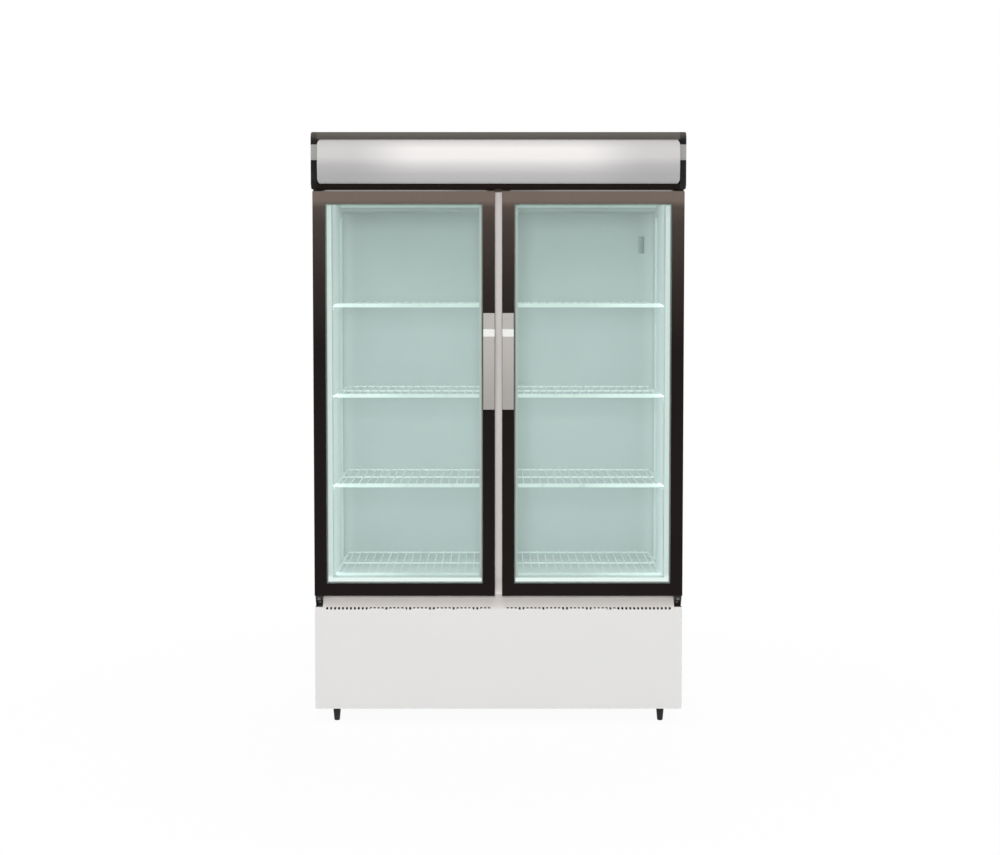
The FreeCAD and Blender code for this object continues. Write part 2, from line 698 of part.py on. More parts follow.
def insulation_and_liner():
    block = box("insulation_block", (-SHELL_IN, SHELL_FRONT, DECK + S.shell_thick),
                (SHELL_IN, BACK_IN, CABINET_TOP - S.shell_thick))
    riser = Piece("riser_channel")
    riser.pad("XY", DECK, CEILING - DECK - S.corner_radius, riser_outline())
    grown = hollow("liner_outside", S.liner_thick)
    hose_way = pipe("hose_way", S.hose_radius + S.hole_play, S.pipe_bend, hose_route())
    pipe_way = pipe("pipe_way", S.pipe_radius + S.hole_play, S.pipe_bend, suction_route())
    room = hollow("liner_inside", as_size(0))
    node("insulation", cut("insulation", block, grown, riser.body, hose_way, pipe_way))
    node("inner_liner", cut("inner_liner", grown, room, hose_way, pipe_way))


def front_frame():
    piece = Piece("front_frame")
    mouth = rectangle(-MOUTH, SILL, MOUTH, HEADER)
    piece.pad("XZ", FACE, S.frame_thick, rectangle(-HALF, DECK, HALF, CABINET_TOP), mouth)
    node("front_frame", piece.body)


def centre_mullion():
    piece = Piece("centre_mullion")
    shoulder = LIP - S.mullion_chamfer
    narrow = MULLION - S.mullion_chamfer
    piece.pad("XY", SILL, HEADER - SILL, [
        (-MULLION, FACE), (MULLION, FACE), (MULLION, shoulder),
        (narrow, LIP), (-narrow, LIP), (-MULLION, shoulder)])
    node("centre_mullion", piece.body)


# Base

def base_tray():
    piece = Piece("base_tray")
    front = PANEL + S.panel_thick
    side = SHELL_IN - S.panel_thick
    rear = GRILLE - S.back_thick
    wall = S.tray_thick
    piece.pad("XY", BASE, S.tray_flange, rectangle(-side, front, side, rear))
    inside = rectangle(-side + wall, front + wall, side - wall, rear - wall)
    piece.pocket("XY", TRAY_TOP, S.tray_flange, inside)
    nuts = [Circle(x, y, S.nut_radius) for x, y in foot_places().values()]
    piece.pad("XY", TRAY_TOP, S.nut_height, *nuts)
    bores = [Circle(x, y, S.foot_stud_radius + S.running_fit) for x, y in foot_places().values()]
    piece.pocket("XY", BASE, S.tray_thick + S.nut_height, *bores)
    node("base_tray", piece.body)


def foot_places():
    x = HALF - S.foot_inset
    front = PANEL + S.foot_front_inset
    rear = BACK - S.foot_rear_inset
    return {
        "front_left": (-x, front), "front_right": (x, front),
        "rear_left": (-x, rear), "rear_right": (x, rear),
    }


def feet():
    collar_top = S.foot_height - S.hinge_gap
    collar_low = collar_top - S.foot_collar
    stud_top = collar_top + S.foot_stud_length
    for name, (x, y) in foot_places().items():
        piece = Piece(f"foot_{name}")
        piece.revolve([
            (0, 0), (S.foot_tread_radius - S.foot_edge, 0), (S.foot_tread_radius, S.foot_edge),
            (S.foot_top_radius - S.foot_edge, collar_low), (S.foot_top_radius, collar_low),
            (S.foot_top_radius, collar_top), (S.foot_stud_radius, collar_top),
            (S.foot_stud_radius, stud_top), (0, stud_top)])
        place(piece.body, x, y, 0)
        node(f"foot_{name}", piece.body)


def front_panel():
    piece = Piece("front_panel")
    wall = S.panel_thick
    crease = BASE + S.panel_face_height
    top = DOOR_LOW - S.panel_gap
    ledge = FACE - S.panel_ledge_depth
    piece.pad("YZ", -HALF, S.cabinet_width, [
        (FACE, BASE), (PANEL, BASE), (PANEL, crease), (ledge, top), (FACE, top)])
    piece.pocket("YZ", -HALF + wall, S.cabinet_width - 2 * wall, [
        (FACE + wall, BASE - wall), (PANEL + wall, BASE - wall), (PANEL + wall, crease - wall / 2),
        (ledge, top - wall * 1.5), (FACE + wall, top - wall * 1.5)])
    span = HALF - S.vent_margin - S.vent_middle
    count = int(float(span) / float(S.vent_pitch)) + 1
    starts = (S.vent_margin - HALF, S.vent_middle)
    slots = [rectangle(x, crease, x + S.vent_width, crease + S.vent_height) for x in starts]
    vents = piece.pocket("XZ", PANEL - wall, S.vent_height + 4 * wall, *slots)
    piece.row([vents], "X", S.vent_pitch, count)
    notch_low = DOOR_LOW - S.hinge_gap - S.hinge_height - S.hinge_gap
    notch_in = HALF - S.hinge_inset - S.hinge_width / 2 - S.hinge_gap
    for x_low, x_high in ((-HALF - wall, -notch_in), (notch_in, HALF + wall)):
        notch = rectangle(x_low, notch_low, x_high, top + wall)
        piece.pocket("XZ", PANEL - wall, FACE - PANEL + 2 * wall, notch)
    node("front_panel", piece.body)


def rear_grille():
    piece = Piece("rear_grille")
    piece.pad("XZ", GRILLE - S.back_thick, S.back_thick, rectangle(-SHELL_IN, BASE, SHELL_IN, DECK),
              Circle(HALF - S.gland_side, BASE + S.gland_rise, S.gland_radius / 2 + S.hole_play))
    columns = int((2 * float(SHELL_IN) - 3 * float(S.gland_side)) / float(S.grille_column_pitch))
    rows = int((float(S.base_height) - 2 * float(S.gland_rise)) / float(S.grille_row_pitch))
    left = -(columns - 1) / 2 * S.grille_column_pitch - S.grille_slot_width / 2
    low = BASE + S.gland_rise + S.gland_radius * 2
    slots = []
    for row in range(rows):
        z = low + row * S.grille_row_pitch
        slots.append(rectangle(left, z, left + S.grille_slot_width, z + S.grille_slot_height))
    louvres = piece.pocket("XZ", GRILLE - 2 * S.back_thick, 3 * S.back_thick, *slots)
    piece.row([louvres], "X", S.grille_column_pitch, columns)
    node("rear_grille", piece.body)


def cable_gland():
    piece = Piece("cable_gland")
    neck = S.gland_radius / 2
    piece.revolve([
        (0, -S.gland_reach), (neck, -S.gland_reach), (neck, 0), (S.gland_radius, 0),
        (S.gland_radius, S.gland_reach / 2), (neck, S.gland_reach), (0, S.gland_reach)])
    place(piece.body, HALF - S.gland_side, GRILLE, BASE + S.gland_rise, AXIS_TURN["Y"])
    node("cable_gland", piece.body)


# Doors

def door_span(side):
    half_gap = S.door_gap / 2
    return (-HALF, -half_gap) if side == "left" else (half_gap, HALF)


def door_profile():
    """Outline and chamber of the door's section: distance in from the edge, distance back from the face."""
    glass_back = S.glass_lip + 2 * S.glass_thick + S.glass_space + 2 * S.glass_clearance
    seat = S.door_face - S.glass_bite - S.glass_clearance
    dart_out = S.dart_place - S.dart_width / 2
    dart_in = S.dart_place + S.dart_width / 2
    back = S.door_depth
    groove = back - S.dart_depth
    bead = S.bead_face
    bevel = S.door_bevel
    outline = [
        (as_size(0), as_size(0)), (S.door_face - bevel, as_size(0)), (S.door_face, bevel / 2),
        (S.door_face, S.glass_lip), (seat, S.glass_lip), (seat, glass_back), (bead, glass_back),
        (bead, back - bevel), (bead - bevel, back),
        (dart_in, back), (dart_in, groove), (dart_out, groove), (dart_out, back), (as_size(0), back)]
    chamber = rectangle(S.door_wall, S.door_wall, seat - S.door_wall, groove - S.door_wall)
    return outline, chamber


def door_frame(side):
    """Four mitred lengths of one hollow section."""
    left, right = door_span(side)
    inner_left, inner_right = left + S.door_face, right - S.door_face
    inner_low, inner_top = DOOR_LOW + S.door_face, DOOR_TOP - S.door_face
    upright = DOOR_TOP - DOOR_LOW
    across = right - left
    lengths = {
        "outer_stile": (
            "XY", DOOR_LOW, upright, lambda u, v: (left + u, DOOR_FACE + v),
            [(left, DOOR_LOW), (inner_left, inner_low), (inner_left, inner_top), (left, DOOR_TOP)]),
        "inner_stile": (
            "XY", DOOR_LOW, upright, lambda u, v: (right - u, DOOR_FACE + v),
            [(right, DOOR_LOW), (inner_right, inner_low), (inner_right, inner_top), (right, DOOR_TOP)]),
        "low_rail": (
            "YZ", left, across, lambda u, v: (DOOR_FACE + v, DOOR_LOW + u),
            [(left, DOOR_LOW), (inner_left, inner_low), (inner_right, inner_low), (right, DOOR_LOW)]),
        "top_rail": (
            "YZ", left, across, lambda u, v: (DOOR_FACE + v, DOOR_TOP - u),
            [(left, DOOR_TOP), (inner_left, inner_top), (inner_right, inner_top), (right, DOOR_TOP)]),
    }
    hinge = hinge_x(side)
    members = []
    for name, (plane, level, length, spot, mitre) in lengths.items():
        bar = Piece(f"{side}_{name}_bar")
        bar.pad(plane, level, length, *[[spot(u, v) for u, v in loop] for loop in door_profile()])
        ends = Piece(f"{side}_{name}_mitre")
        ends.pad("XZ", DOOR_FACE, S.door_depth, mitre)
        member = common(f"{side}_{name}_cut", bar.body, ends.body)
        if plane == "YZ":
            z = DOOR_LOW if name == "low_rail" else DOOR_TOP - S.door_wall
            hole = cylinder(f"{side}_{name}_hole", hinge, hinge_y(), z, S.pin_hole_radius, S.door_wall)
            member = cut(f"{side}_{name}", member, hole)
        members.append(member)
    node(f"{side}_door_frame", compound(f"{side}_door_frame", *members))


def hinge_x(side):
    left, right = door_span(side)
    return left + S.hinge_inset if side == "left" else right - S.hinge_inset


def hinge_y():
    return DOOR_FACE + S.hinge_back


def door_corner_blocks(side):
    """Keys in the hollow section that hold the mitres; the two at the hinge carry its pins."""
    left, right = door_span(side)
    low, high = door_profile()[1][0], door_profile()[1][2]
    play = S.key_clearance
    near = low[0] + play
    far = high[0] - play
    reach = S.key_length
    depth = high[1] - low[1] - 2 * play
    blocks = []
    for x, along in ((left, 1), (right, -1)):
        for z, up in ((DOOR_LOW, 1), (DOOR_TOP, -1)):
            name = f"{side}_key_{'low' if up > 0 else 'top'}_{'left' if along > 0 else 'right'}"
            piece = Piece(name)
            legs = [(near, near), (reach, near), (reach, far), (far, far), (far, reach), (near, reach)]
            outline = [(x + along * u, z + up * v) for u, v in legs]
            piece.pad("XZ", DOOR_FACE + low[1] + play, depth, outline)
            if (along > 0) == (side == "left"):
                bore = Circle(hinge_x(side), hinge_y(), S.pin_radius + S.running_fit)
                deep = S.pin_length + S.hinge_head_gap
                piece.pocket("XY", z if up > 0 else z - deep, deep, bore)
            blocks.append(piece.body)
    node(f"{side}_door_corner_blocks", compound(f"{side}_door_corner_blocks", *blocks))


def door_glazing(side):
    left, right = door_span(side)
    inset = S.door_face - S.glass_bite
    front = DOOR_FACE + S.glass_lip + S.glass_clearance
    panes = []
    for name, y in (("outer", front), ("inner", front + S.glass_thick + S.glass_space)):
        panes.append(box(f"{side}_{name}_pane", (left + inset, y, DOOR_LOW + inset),
                         (right - inset, y + S.glass_thick, DOOR_TOP - inset)))
    node(f"{side}_door_glass", compound(f"{side}_door_glass", *panes))
    spacer = Piece(f"{side}_door_spacer")
    edge = inset + S.glass_clearance * 2
    inner = edge + S.spacer_width
    spacer.pad("XZ", front + S.glass_thick, S.glass_space,
               rectangle(left + edge, DOOR_LOW + edge, right - edge, DOOR_TOP - edge),
               rectangle(left + inner, DOOR_LOW + inner, right - inner, DOOR_TOP - inner))
    node(f"{side}_door_spacer", spacer.body)


def door_gasket(side):
    """Magnetic seal: a dart in the groove, a mounting strip and a soft bellows."""
    left, right = door_span(side)

    def ring(centre, width):
        outer = centre - width / 2
        inner = centre + width / 2
        return (rectangle(left + outer, DOOR_LOW + outer, right - outer, DOOR_TOP - outer),
                rectangle(left + inner, DOOR_LOW + inner, right - inner, DOOR_TOP - inner))

    piece = Piece(f"{side}_door_gasket")
    middle = S.dart_place + (S.gasket_width - S.dart_width) / 4
    strip_back = DOOR_BACK + S.gasket_base
    seal_back = FACE - S.gasket_clearance
    piece.pad("XZ", DOOR_BACK, S.gasket_base, *ring(middle, S.gasket_width))
    dart_front = DOOR_BACK - S.dart_depth + S.dart_clearance
    dart = ring(S.dart_place, S.dart_width - 2 * S.dart_clearance)
    piece.pad("XZ", dart_front, DOOR_BACK - dart_front, *dart)
    piece.pad("XZ", strip_back, seal_back - strip_back, *ring(middle, S.gasket_width - 2 * S.gasket_base))
    node(f"{side}_door_gasket", piece.body)


def door_handle(side):
    left, right = door_span(side)
    start = right - S.handle_edge - S.handle_width if side == "left" else left + S.handle_edge
    strap = S.handle_strap
    low = DOOR_LOW + S.handle_rise
    top = low + S.handle_length
    mount_low = top - S.handle_mount
    grip_top = mount_low - S.handle_slope
    piece = Piece(f"{side}_door_handle")
    piece.pad("YZ", start, S.handle_width, [
        (DOOR_FACE, top), (DOOR_FACE - strap, top), (DOOR_FACE - strap, mount_low), (HANDLE_FACE, grip_top),
        (HANDLE_FACE, low), (DOOR_FACE, low), (DOOR_FACE, low + strap), (HANDLE_FACE + strap, low + strap),
        (HANDLE_FACE + strap, grip_top - strap / 2), (DOOR_FACE, mount_low - strap)])
    middle = start + S.handle_width / 2
    piece.round(strap / 2, (middle, HANDLE_FACE, grip_top), (middle, HANDLE_FACE, low),
                (middle, DOOR_FACE - strap, top))
    node(f"{side}_door_handle", piece.body)


# Hinges

def bottom_hinges():
    """Brackets under the doors: a top plate between two cheeks, the pin and its tension nut."""
    top = DOOR_LOW - S.hinge_gap
    low = top - S.hinge_height
    front = hinge_y() - S.hinge_reach
    brackets = []
    for side in SIDES:
        piece = Piece(f"{side}_bottom_hinge")
        start = hinge_x(side) - S.hinge_width / 2
        cheek = S.hinge_cheek
        shelf = top - S.hinge_plate
        piece.pad("YZ", start, S.hinge_width, [
            (FACE, low), (FACE, top), (front, top), (front, shelf), (FACE - S.hinge_height / 2, low)])
        piece.pocket("YZ", start + cheek, S.hinge_width - 2 * cheek, [
            (FACE - cheek, low - cheek), (FACE - cheek, shelf),
            (front - cheek, shelf), (front - cheek, low - cheek)])
        piece.pad("XY", shelf, S.hinge_plate + S.pin_length, Circle(hinge_x(side), hinge_y(), S.pin_radius))
        nut = Circle(hinge_x(side), hinge_y(), S.pin_nut_radius)
        piece.pad("XY", shelf - S.hinge_plate, S.hinge_plate, nut)
        brackets.append(piece.body)
    node("bottom_hinges", compound("bottom_hinges", *brackets))


def top_hinges():
    """Angle plates over the doors, each with a tab on the front frame and a pin."""
    low = DOOR_TOP + S.hinge_head_gap
    plate = S.hinge_head_plate
    brackets = []
    for side in SIDES:
        piece = Piece(f"{side}_top_hinge")
        start = hinge_x(side) - S.hinge_width / 2
        piece.pad("YZ", start, S.hinge_width, [
            (FACE, low), (hinge_y() - S.hinge_reach, low), (hinge_y() - S.hinge_reach, low + plate),
            (FACE - plate, low + plate), (FACE - plate, low + S.hinge_tab), (FACE, low + S.hinge_tab)])
        piece.pad("XY", low - S.pin_length, S.pin_length, Circle(hinge_x(side), hinge_y(), S.pin_radius))
        brackets.append(piece.body)
    node("top_hinges", compound("top_hinges", *brackets))


# Canopy

def canopy_half():
    return HALF + S.canopy_overhang


def canopy_housing():
    """One bent section: top flange, back wall, floor and the two lips that hold the sign panel."""
    skin = S.canopy_skin
    nose = NOSE
    rear = SHELL_FRONT + S.canopy_flange
    half = canopy_half() - S.canopy_cap
    piece = Piece("canopy_housing")
    piece.pad("YZ", -half, 2 * half, [
        (rear, TOP), (nose, TOP), (nose, TOP - S.canopy_top_lip), (nose + skin, TOP - S.canopy_top_lip),
        (nose + skin, TOP - skin), (FACE - skin, TOP - skin), (FACE - skin, CANOPY_LOW + skin),
        (nose + skin, CANOPY_LOW + skin), (nose + skin, CANOPY_LOW + S.canopy_low_lip),
        (nose, CANOPY_LOW + S.canopy_low_lip), (nose, CANOPY_LOW), (FACE, CANOPY_LOW),
        (FACE, CABINET_TOP), (rear, CABINET_TOP)])
    notch_top = DOOR_TOP + S.hinge_head_gap + S.hinge_tab + S.hinge_head_gap
    notch_in = HALF - S.hinge_inset - S.hinge_width / 2 - S.hinge_head_gap
    notch_deep = S.hinge_head_plate + 2 * S.hinge_head_gap
    for x_low, x_high in ((-HALF, -notch_in), (notch_in, HALF)):
        notch = rectangle(x_low, CANOPY_LOW - skin, x_high, notch_top)
        piece.pocket("XZ", FACE + S.hinge_head_gap - notch_deep, notch_deep, notch)
    piece.round(S.canopy_round, (0, nose, TOP), (0, nose, CANOPY_LOW))
    piece.round(S.canopy_inner_round, (0, nose + skin, TOP - skin), (0, nose + skin, CANOPY_LOW + skin))
    node("canopy_housing", piece.body)


def sign_edges():
    """Height of the sign panel's lower and upper edge."""
    return CANOPY_LOW + S.canopy_low_lip - S.sign_seat, TOP - S.canopy_top_lip + S.sign_seat


def canopy_sign_panel():
    low, high = sign_edges()
    half = canopy_half() - S.canopy_cap - S.sign_play
    front = NOSE + S.canopy_skin + S.sign_play
    back = front + S.sign_thick
    flat = S.sign_seat + S.sign_play
    sheet = Piece("sign_sheet")
    sheet.pad("YZ", -half, 2 * half, [
        (front, low), (front, low + flat, S.sign_bulge), (front, high - flat), (front, high),
        (back, high), (back, high - flat, -S.sign_bulge), (back, low + flat), (back, low)])
    outline = Piece("sign_outline")
    deep = S.sign_bulge + S.sign_thick
    outline.pad("XZ", back - 2 * deep, 3 * deep, rounded(-half, low, half, high, S.sign_corner))
    node("canopy_sign_panel", common("canopy_sign_panel", sheet.body, outline.body))


def canopy_end_caps():
    """Moulded ends of the canopy, each with a groove for its band."""
    low, high = sign_edges()
    nose = NOSE
    back = FACE - S.canopy_cap_back
    soft = S.canopy_round
    slope = soft / 2
    middle = (back + nose) / 2
    band = CANOPY_LOW + S.band_rise
    caps = []
    for side, sign in SIDES.items():
        piece = Piece(f"{side}_end_cap")
        inner = canopy_half() - S.canopy_cap
        start = inner if sign > 0 else -canopy_half()
        piece.pad("YZ", start, S.canopy_cap, [
            (back, CANOPY_LOW), (back, TOP), (nose + soft, TOP), (nose, TOP - soft),
            (nose, high), (nose, low), (nose, CANOPY_LOW + soft), (nose + soft, CANOPY_LOW)])
        outside = sign * canopy_half()
        piece.round(
            S.canopy_cap_round, (outside, middle, TOP), (outside, middle, CANOPY_LOW),
            (outside, nose, (low + high) / 2), (outside, nose, (high + TOP - soft) / 2),
            (outside, nose, (low + CANOPY_LOW + soft) / 2), (outside, nose + slope, TOP - slope),
            (outside, nose + slope, CANOPY_LOW + slope))
        wall = outside - sign * S.band_depth
        bend = outside - sign * S.canopy_cap_round
        ahead = nose + S.band_depth
        piece.pocket("XY", band, S.band_height, [
            (sign * inner, nose - soft), (sign * inner, ahead), (bend, ahead),
            (wall, nose + S.canopy_cap_round), (wall, back + soft), (outside + sign * soft, back + soft),
            (outside + sign * soft, nose - soft)])
        caps.append(piece.body)
    node("canopy_end_caps", compound("canopy_end_caps", *caps))


def canopy_led_board():
    half = canopy_half() - S.canopy_cap - S.led_board_margin
    middle = (CANOPY_LOW + TOP) / 2
    back = FACE - S.canopy_skin
    front = back - S.led_board_thick
    piece = Piece("canopy_led_board")
    piece.pad("XZ", front, S.led_board_thick,
              rectangle(-half, middle - S.led_board_height / 2, half, middle + S.led_board_height / 2))
    count = int(2 * float(half - S.led_lens_pitch / 2) / float(S.led_lens_pitch)) + 1
    first = -(count - 1) / 2 * S.led_lens_pitch
    rise = S.led_lens_radius / 2
    lens = piece.pad("XZ", front - rise, rise, Circle(first, middle, S.led_lens_radius))
    piece.row([lens], "X", S.led_lens_pitch, count)
    node("canopy_led_board", piece.body)


# Shelves and their supports

def shelf_top(level):
    return FLOOR + S.shelf_first + level * S.shelf_pitch


def shelf_under():
    """Depth of the frame rods' underside below a shelf's top."""
    return 2 * S.wire_radius - S.weld_sink + S.cross_rod_radius + S.rod_radius


def shelf_front():
    return LIP + S.upright_depth + S.shelf_end_gap


def shelf_rear():
    return REAR - S.upright_depth - S.shelf_end_gap


def wire_shelf():
    """The right-hand shelf's shape, its top at height zero."""
    start = S.shelf_middle_gap
    end = INNER - S.shelf_side_gap
    front, rear = shelf_front(), shelf_rear()
    rod, cross, wire = S.rod_radius, S.cross_rod_radius, S.wire_radius
    rod_z = rod - shelf_under()
    wire_z = -wire
    piece = Piece("wire_shelf")
    first = front + 2 * wire + cross - S.weld_sink
    rows = [(first, rod_z), ((front + rear) / 2, rod_z), (rear - rod, rod_z)]
    piece.pad("YZ", start + rod, end - start - 2 * rod, *[Circle(y, z, cross) for y, z in rows])
    piece.pad("XZ", front, rear - front, Circle(start + rod, rod_z, rod), Circle(end - rod, rod_z, rod))
    count = int(float(end - start - 4 * rod) / float(S.wire_pitch))
    offset = (end - start - (count - 1) * S.wire_pitch) / 2
    run = wire_run(piece, start + offset, front + wire, rear - rod, wire_z)
    profile = piece.sketch("XZ", rear - rod, [Circle(start + offset, wire_z, wire)])
    sweep = piece.feature("AdditivePipe", profile)
    sweep.Spine = (run, ["Edge1", "Edge2"])
    sweep.Transition = "Right corner"
    piece.row([sweep], "X", S.wire_pitch, count)
    strip_top = wire_z / 2
    piece.pad("YZ", start + S.strip_inset, end - start - 2 * S.strip_inset, rectangle(
        front - S.strip_thick, strip_top - S.strip_height, front + S.weld_sink, strip_top))
    return piece.body


def wire_run(piece, x, front, rear, z):
    """Path of one wire: straight from back to front, then turned down."""
    sketch = piece.sketch("YZ", x, [])
    spots = [(rear, z), (front, z), (front, z - S.wire_drop)]
    flat = [FreeCAD.Vector(float(y), float(up), 0) for y, up in spots]
    for start, end in zip(flat, flat[1:]):
        sketch.addGeometry(Part.LineSegment(start, end), False)
    sketch.addConstraint(Sketcher.Constraint("Coincident", 0, 2, 1, 1))
    for index, end, spot in ((0, 1, spots[0]), (0, 2, spots[1]), (1, 2, spots[2])):
        for kind, size in zip(("DistanceX", "DistanceY"), spot):
            constraint = sketch.addConstraint(Sketcher.Constraint(kind, index, end, float(size)))
            bind(sketch, f"Constraints[{constraint}]", size)
    return sketch


def shelves():
    master = wire_shelf()
    width = INNER - S.shelf_side_gap - S.shelf_middle_gap
    for level in range(SHELF_LEVELS):
        z = shelf_top(level)
        shift = -width - 2 * S.shelf_middle_gap
        node(f"shelf_right_{level + 1}", copy_of(f"shelf_right_{level + 1}", master, 0, 0, z))
        node(f"shelf_left_{level + 1}", copy_of(f"shelf_left_{level + 1}", master, shift, 0, z))


def upright_places():
    """Foot of each upright's wall face, and the way it faces."""
    front = LIP + S.upright_front
    rear = REAR - S.upright_rear
    return {
        "left_front": (-INNER, front, 0), "left_rear": (-INNER, rear, 0),
        "right_front": (INNER, front, 180), "right_rear": (INNER, rear, 180),
        "middle_front": (as_size(0), LIP, 90), "middle_rear": (as_size(0), REAR, -90),
    }


def shelf_uprights():
    """Slotted channels on the side walls, the centre post and the back wall."""
    low = FLOOR + S.upright_foot
    high = COVER_LOW - S.upright_head
    half = S.upright_width / 2
    wall = S.upright_wall
    deep = S.upright_depth
    master = Piece("upright")
    master.pad("XY", low, high - low, [
        (0, -half), (deep, -half), (deep, half), (0, half), (0, half - wall), (deep - wall, half - wall),
        (deep - wall, wall - half), (0, wall - half)])
    first = shelf_top(0) - shelf_under() - S.clip_drop / 2 - S.slot_height / 2
    count = int(float(high - first - S.slot_height) / float(S.slot_pitch)) + 1
    slot = master.pocket("YZ", deep - 2 * wall, 3 * wall,
                         rectangle(-S.slot_width / 2, first, S.slot_width / 2, first + S.slot_height))
    master.row([slot], "Z", S.slot_pitch, count)
    uprights = [
        copy_of(f"upright_{name}", master.body, x, y, 0, yaw(turn))
        for name, (x, y, turn) in upright_places().items()]
    node("shelf_uprights", compound("shelf_uprights", *uprights))


def shelf_clips():
    """Hooks in the uprights' slots, each with a ledge under the shelf's frame rods."""
    thick = S.clip_thick
    deep = S.upright_depth
    half = S.upright_width / 2
    play = S.clip_play
    master = Piece("clip")
    master.pad("XZ", -half, S.upright_width, [
        (deep, 0), (deep + S.clip_ledge, 0), (deep + S.clip_ledge, -thick), (deep + thick, -thick),
        (deep + thick, -S.clip_drop), (deep, -S.clip_drop)])
    hook_low = -S.clip_drop / 2 - S.slot_height / 2 + play
    master.pad("XZ", play - S.slot_width / 2, S.slot_width - 2 * play,
               rectangle(deep - 2 * S.upright_wall, hook_low, deep, hook_low + S.slot_height - 2 * play))
    clips = []
    for name, (x, y, turn) in upright_places().items():
        for level in range(SHELF_LEVELS):
            z = shelf_top(level) - shelf_under()
            clips.append(copy_of(f"clip_{name}_{level + 1}", master.body, x, y, z, yaw(turn)))
    node("shelf_clips", compound("shelf_clips", *clips))


# Lights and sensor

def led_bars():
    """Light bars behind the opening's side borders: an angled channel and its diffuser."""
    low = SILL + S.led_margin
    high = HEADER - S.led_margin
    wall = S.led_wall
    back = LIP + S.led_depth
    channels = []
    diffusers = []
    for side, sign in SIDES.items():
        outer = sign * INNER
        inner = sign * (INNER - S.led_width)
        channel = Piece(f"{side}_led_channel")
        channel.pad("XY", low, high - low, [
            (outer, LIP), (inner, LIP), (inner, LIP + wall), (outer - sign * wall, LIP + wall),
            (outer - sign * wall, back), (outer, back)])
        channels.append(channel.body)
        diffuser = Piece(f"{side}_led_diffuser")
        diffuser.pad("XY", low, high - low, [
            (outer - sign * wall, LIP + wall), (inner, LIP + wall), (inner, LIP + 2 * wall),
            (outer - sign * wall, back)])
        diffusers.append(diffuser.body)
    node("led_channels", compound("led_channels", *channels))
    node("led_diffusers", compound("led_diffusers", *diffusers))


def temperature_probe_cover():
    x = INNER - S.probe_side
    z = CEILING - S.probe_drop
    half = S.probe_width / 2
    tall = S.probe_height / 2
    piece = Piece("temperature_probe_cover")
    piece.pad("XZ", REAR - S.probe_depth, S.probe_depth, rectangle(x - half, z - tall, x + half, z + tall))
    slot = S.probe_width / 10
    slots = piece.pocket("XZ", REAR - S.probe_depth, S.probe_depth / 4,
                         rectangle(x - half / 2, z - tall * 0.6, x + half / 2, z - tall * 0.6 + slot))
    piece.row([slots], "Z", 4 * slot, 5)
    front = REAR - S.probe_depth
    piece.round(S.probe_depth / 4, (x - half, front, z), (x + half, front, z),
                (x, front, z + tall), (x, front, z - tall))
    node("temperature_probe_cover", piece.body)


# Evaporator

def evaporator_cover():
    """Folded cover at the top rear: return slots in its face, fan grilles and a drip channel."""
    half = INNER - S.cover_side_gap
    wall = S.cover_thick
    face = COVER_FACE
    high = CEILING - COVER_LOW
    corner = S.cover_corner
    piece = Piece("evaporator_cover")
    piece.pad("XY", COVER_LOW, high, [
        (-half, face), (half, face), (half, REAR - corner), (half - corner, REAR),
        (corner - half, REAR), (-half, REAR - corner)])
    inside = half - wall
    room = rectangle(-inside, face + wall, inside, REAR + wall)
    piece.pocket("XY", COVER_LOW + wall, high, room)
    lip = rectangle(-inside, drip_edge() - wall, inside, drip_edge())
    piece.pad("XY", COVER_LOW + wall, S.drip_lip, lip)
    count = int(2 * float(S.fan_radius) / float(S.grille_bar_pitch)) - 1
    first = fan_y() - (count - 1) / 2 * S.grille_bar_pitch - S.grille_bar_slot / 2
    reach = S.fan_radius - S.grille_bar_pitch
    last = first + S.grille_bar_slot
    bars = [rectangle(x - reach, first, x + reach, last) for x in (-FAN_X, FAN_X)]
    grille = piece.pocket("XY", COVER_LOW - wall, 3 * wall, *bars)
    piece.row([grille], "Y", S.grille_bar_pitch, count)
    returns = int(2 * float(inside) / float(S.return_pitch)) - 1
    left = -(returns - 1) / 2 * S.return_pitch - S.grille_bar_slot / 2
    low = COVER_LOW + S.return_rise
    opening = rectangle(left, low, left + S.grille_bar_slot, low + S.return_height)
    slot = piece.pocket("XZ", face - wall, 3 * wall, opening)
    piece.row([slot], "X", S.return_pitch, returns)
    seam = S.cover_seam_width / 2
    seam_top = COVER_LOW + S.cover_seam_height
    seams = [rectangle(x - seam, COVER_LOW - wall, x + seam, seam_top) for x in (-FAN_X, FAN_X)]
    piece.pocket("XZ", face - wall, wall * 1.4, *seams)
    node("evaporator_cover", piece.body)


def drip_edge():
    return REAR - S.coil_back_gap - S.coil_depth - S.coil_back_gap


def fan_y():
    return (COVER_FACE + drip_edge()) / 2


def tube_height(z_low, height, rows, row):
    """Height of one row of a coil's tubes."""
    return z_low + height * (row + 0.5) / rows


def finned_coil(name, x_low, length, rows, y_low, depth, z_low, height):
    """Tubes in two columns through a stack of fins."""
    piece = Piece(name)
    columns = (y_low + depth / 4, y_low + depth * 3 / 4)
    levels = [tube_height(z_low, height, rows, row) for row in range(rows)]
    piece.pad("YZ", x_low, length, *[Circle(y, z, S.tube_radius) for y in columns for z in levels])
    count = int(float(length - S.fin_thick) / float(S.fin_pitch)) + 1
    first = x_low + (length - (count - 1) * S.fin_pitch - S.fin_thick) / 2
    sheet = rectangle(y_low, z_low, y_low + depth, z_low + height)
    fin = piece.pad("YZ", first, S.fin_thick, sheet)
    piece.row([fin], "X", S.fin_pitch, count)
    return piece


def coil_low():
    return COVER_LOW + S.cover_thick + S.coil_rise


def coil_front():
    return REAR - S.coil_back_gap - S.coil_depth


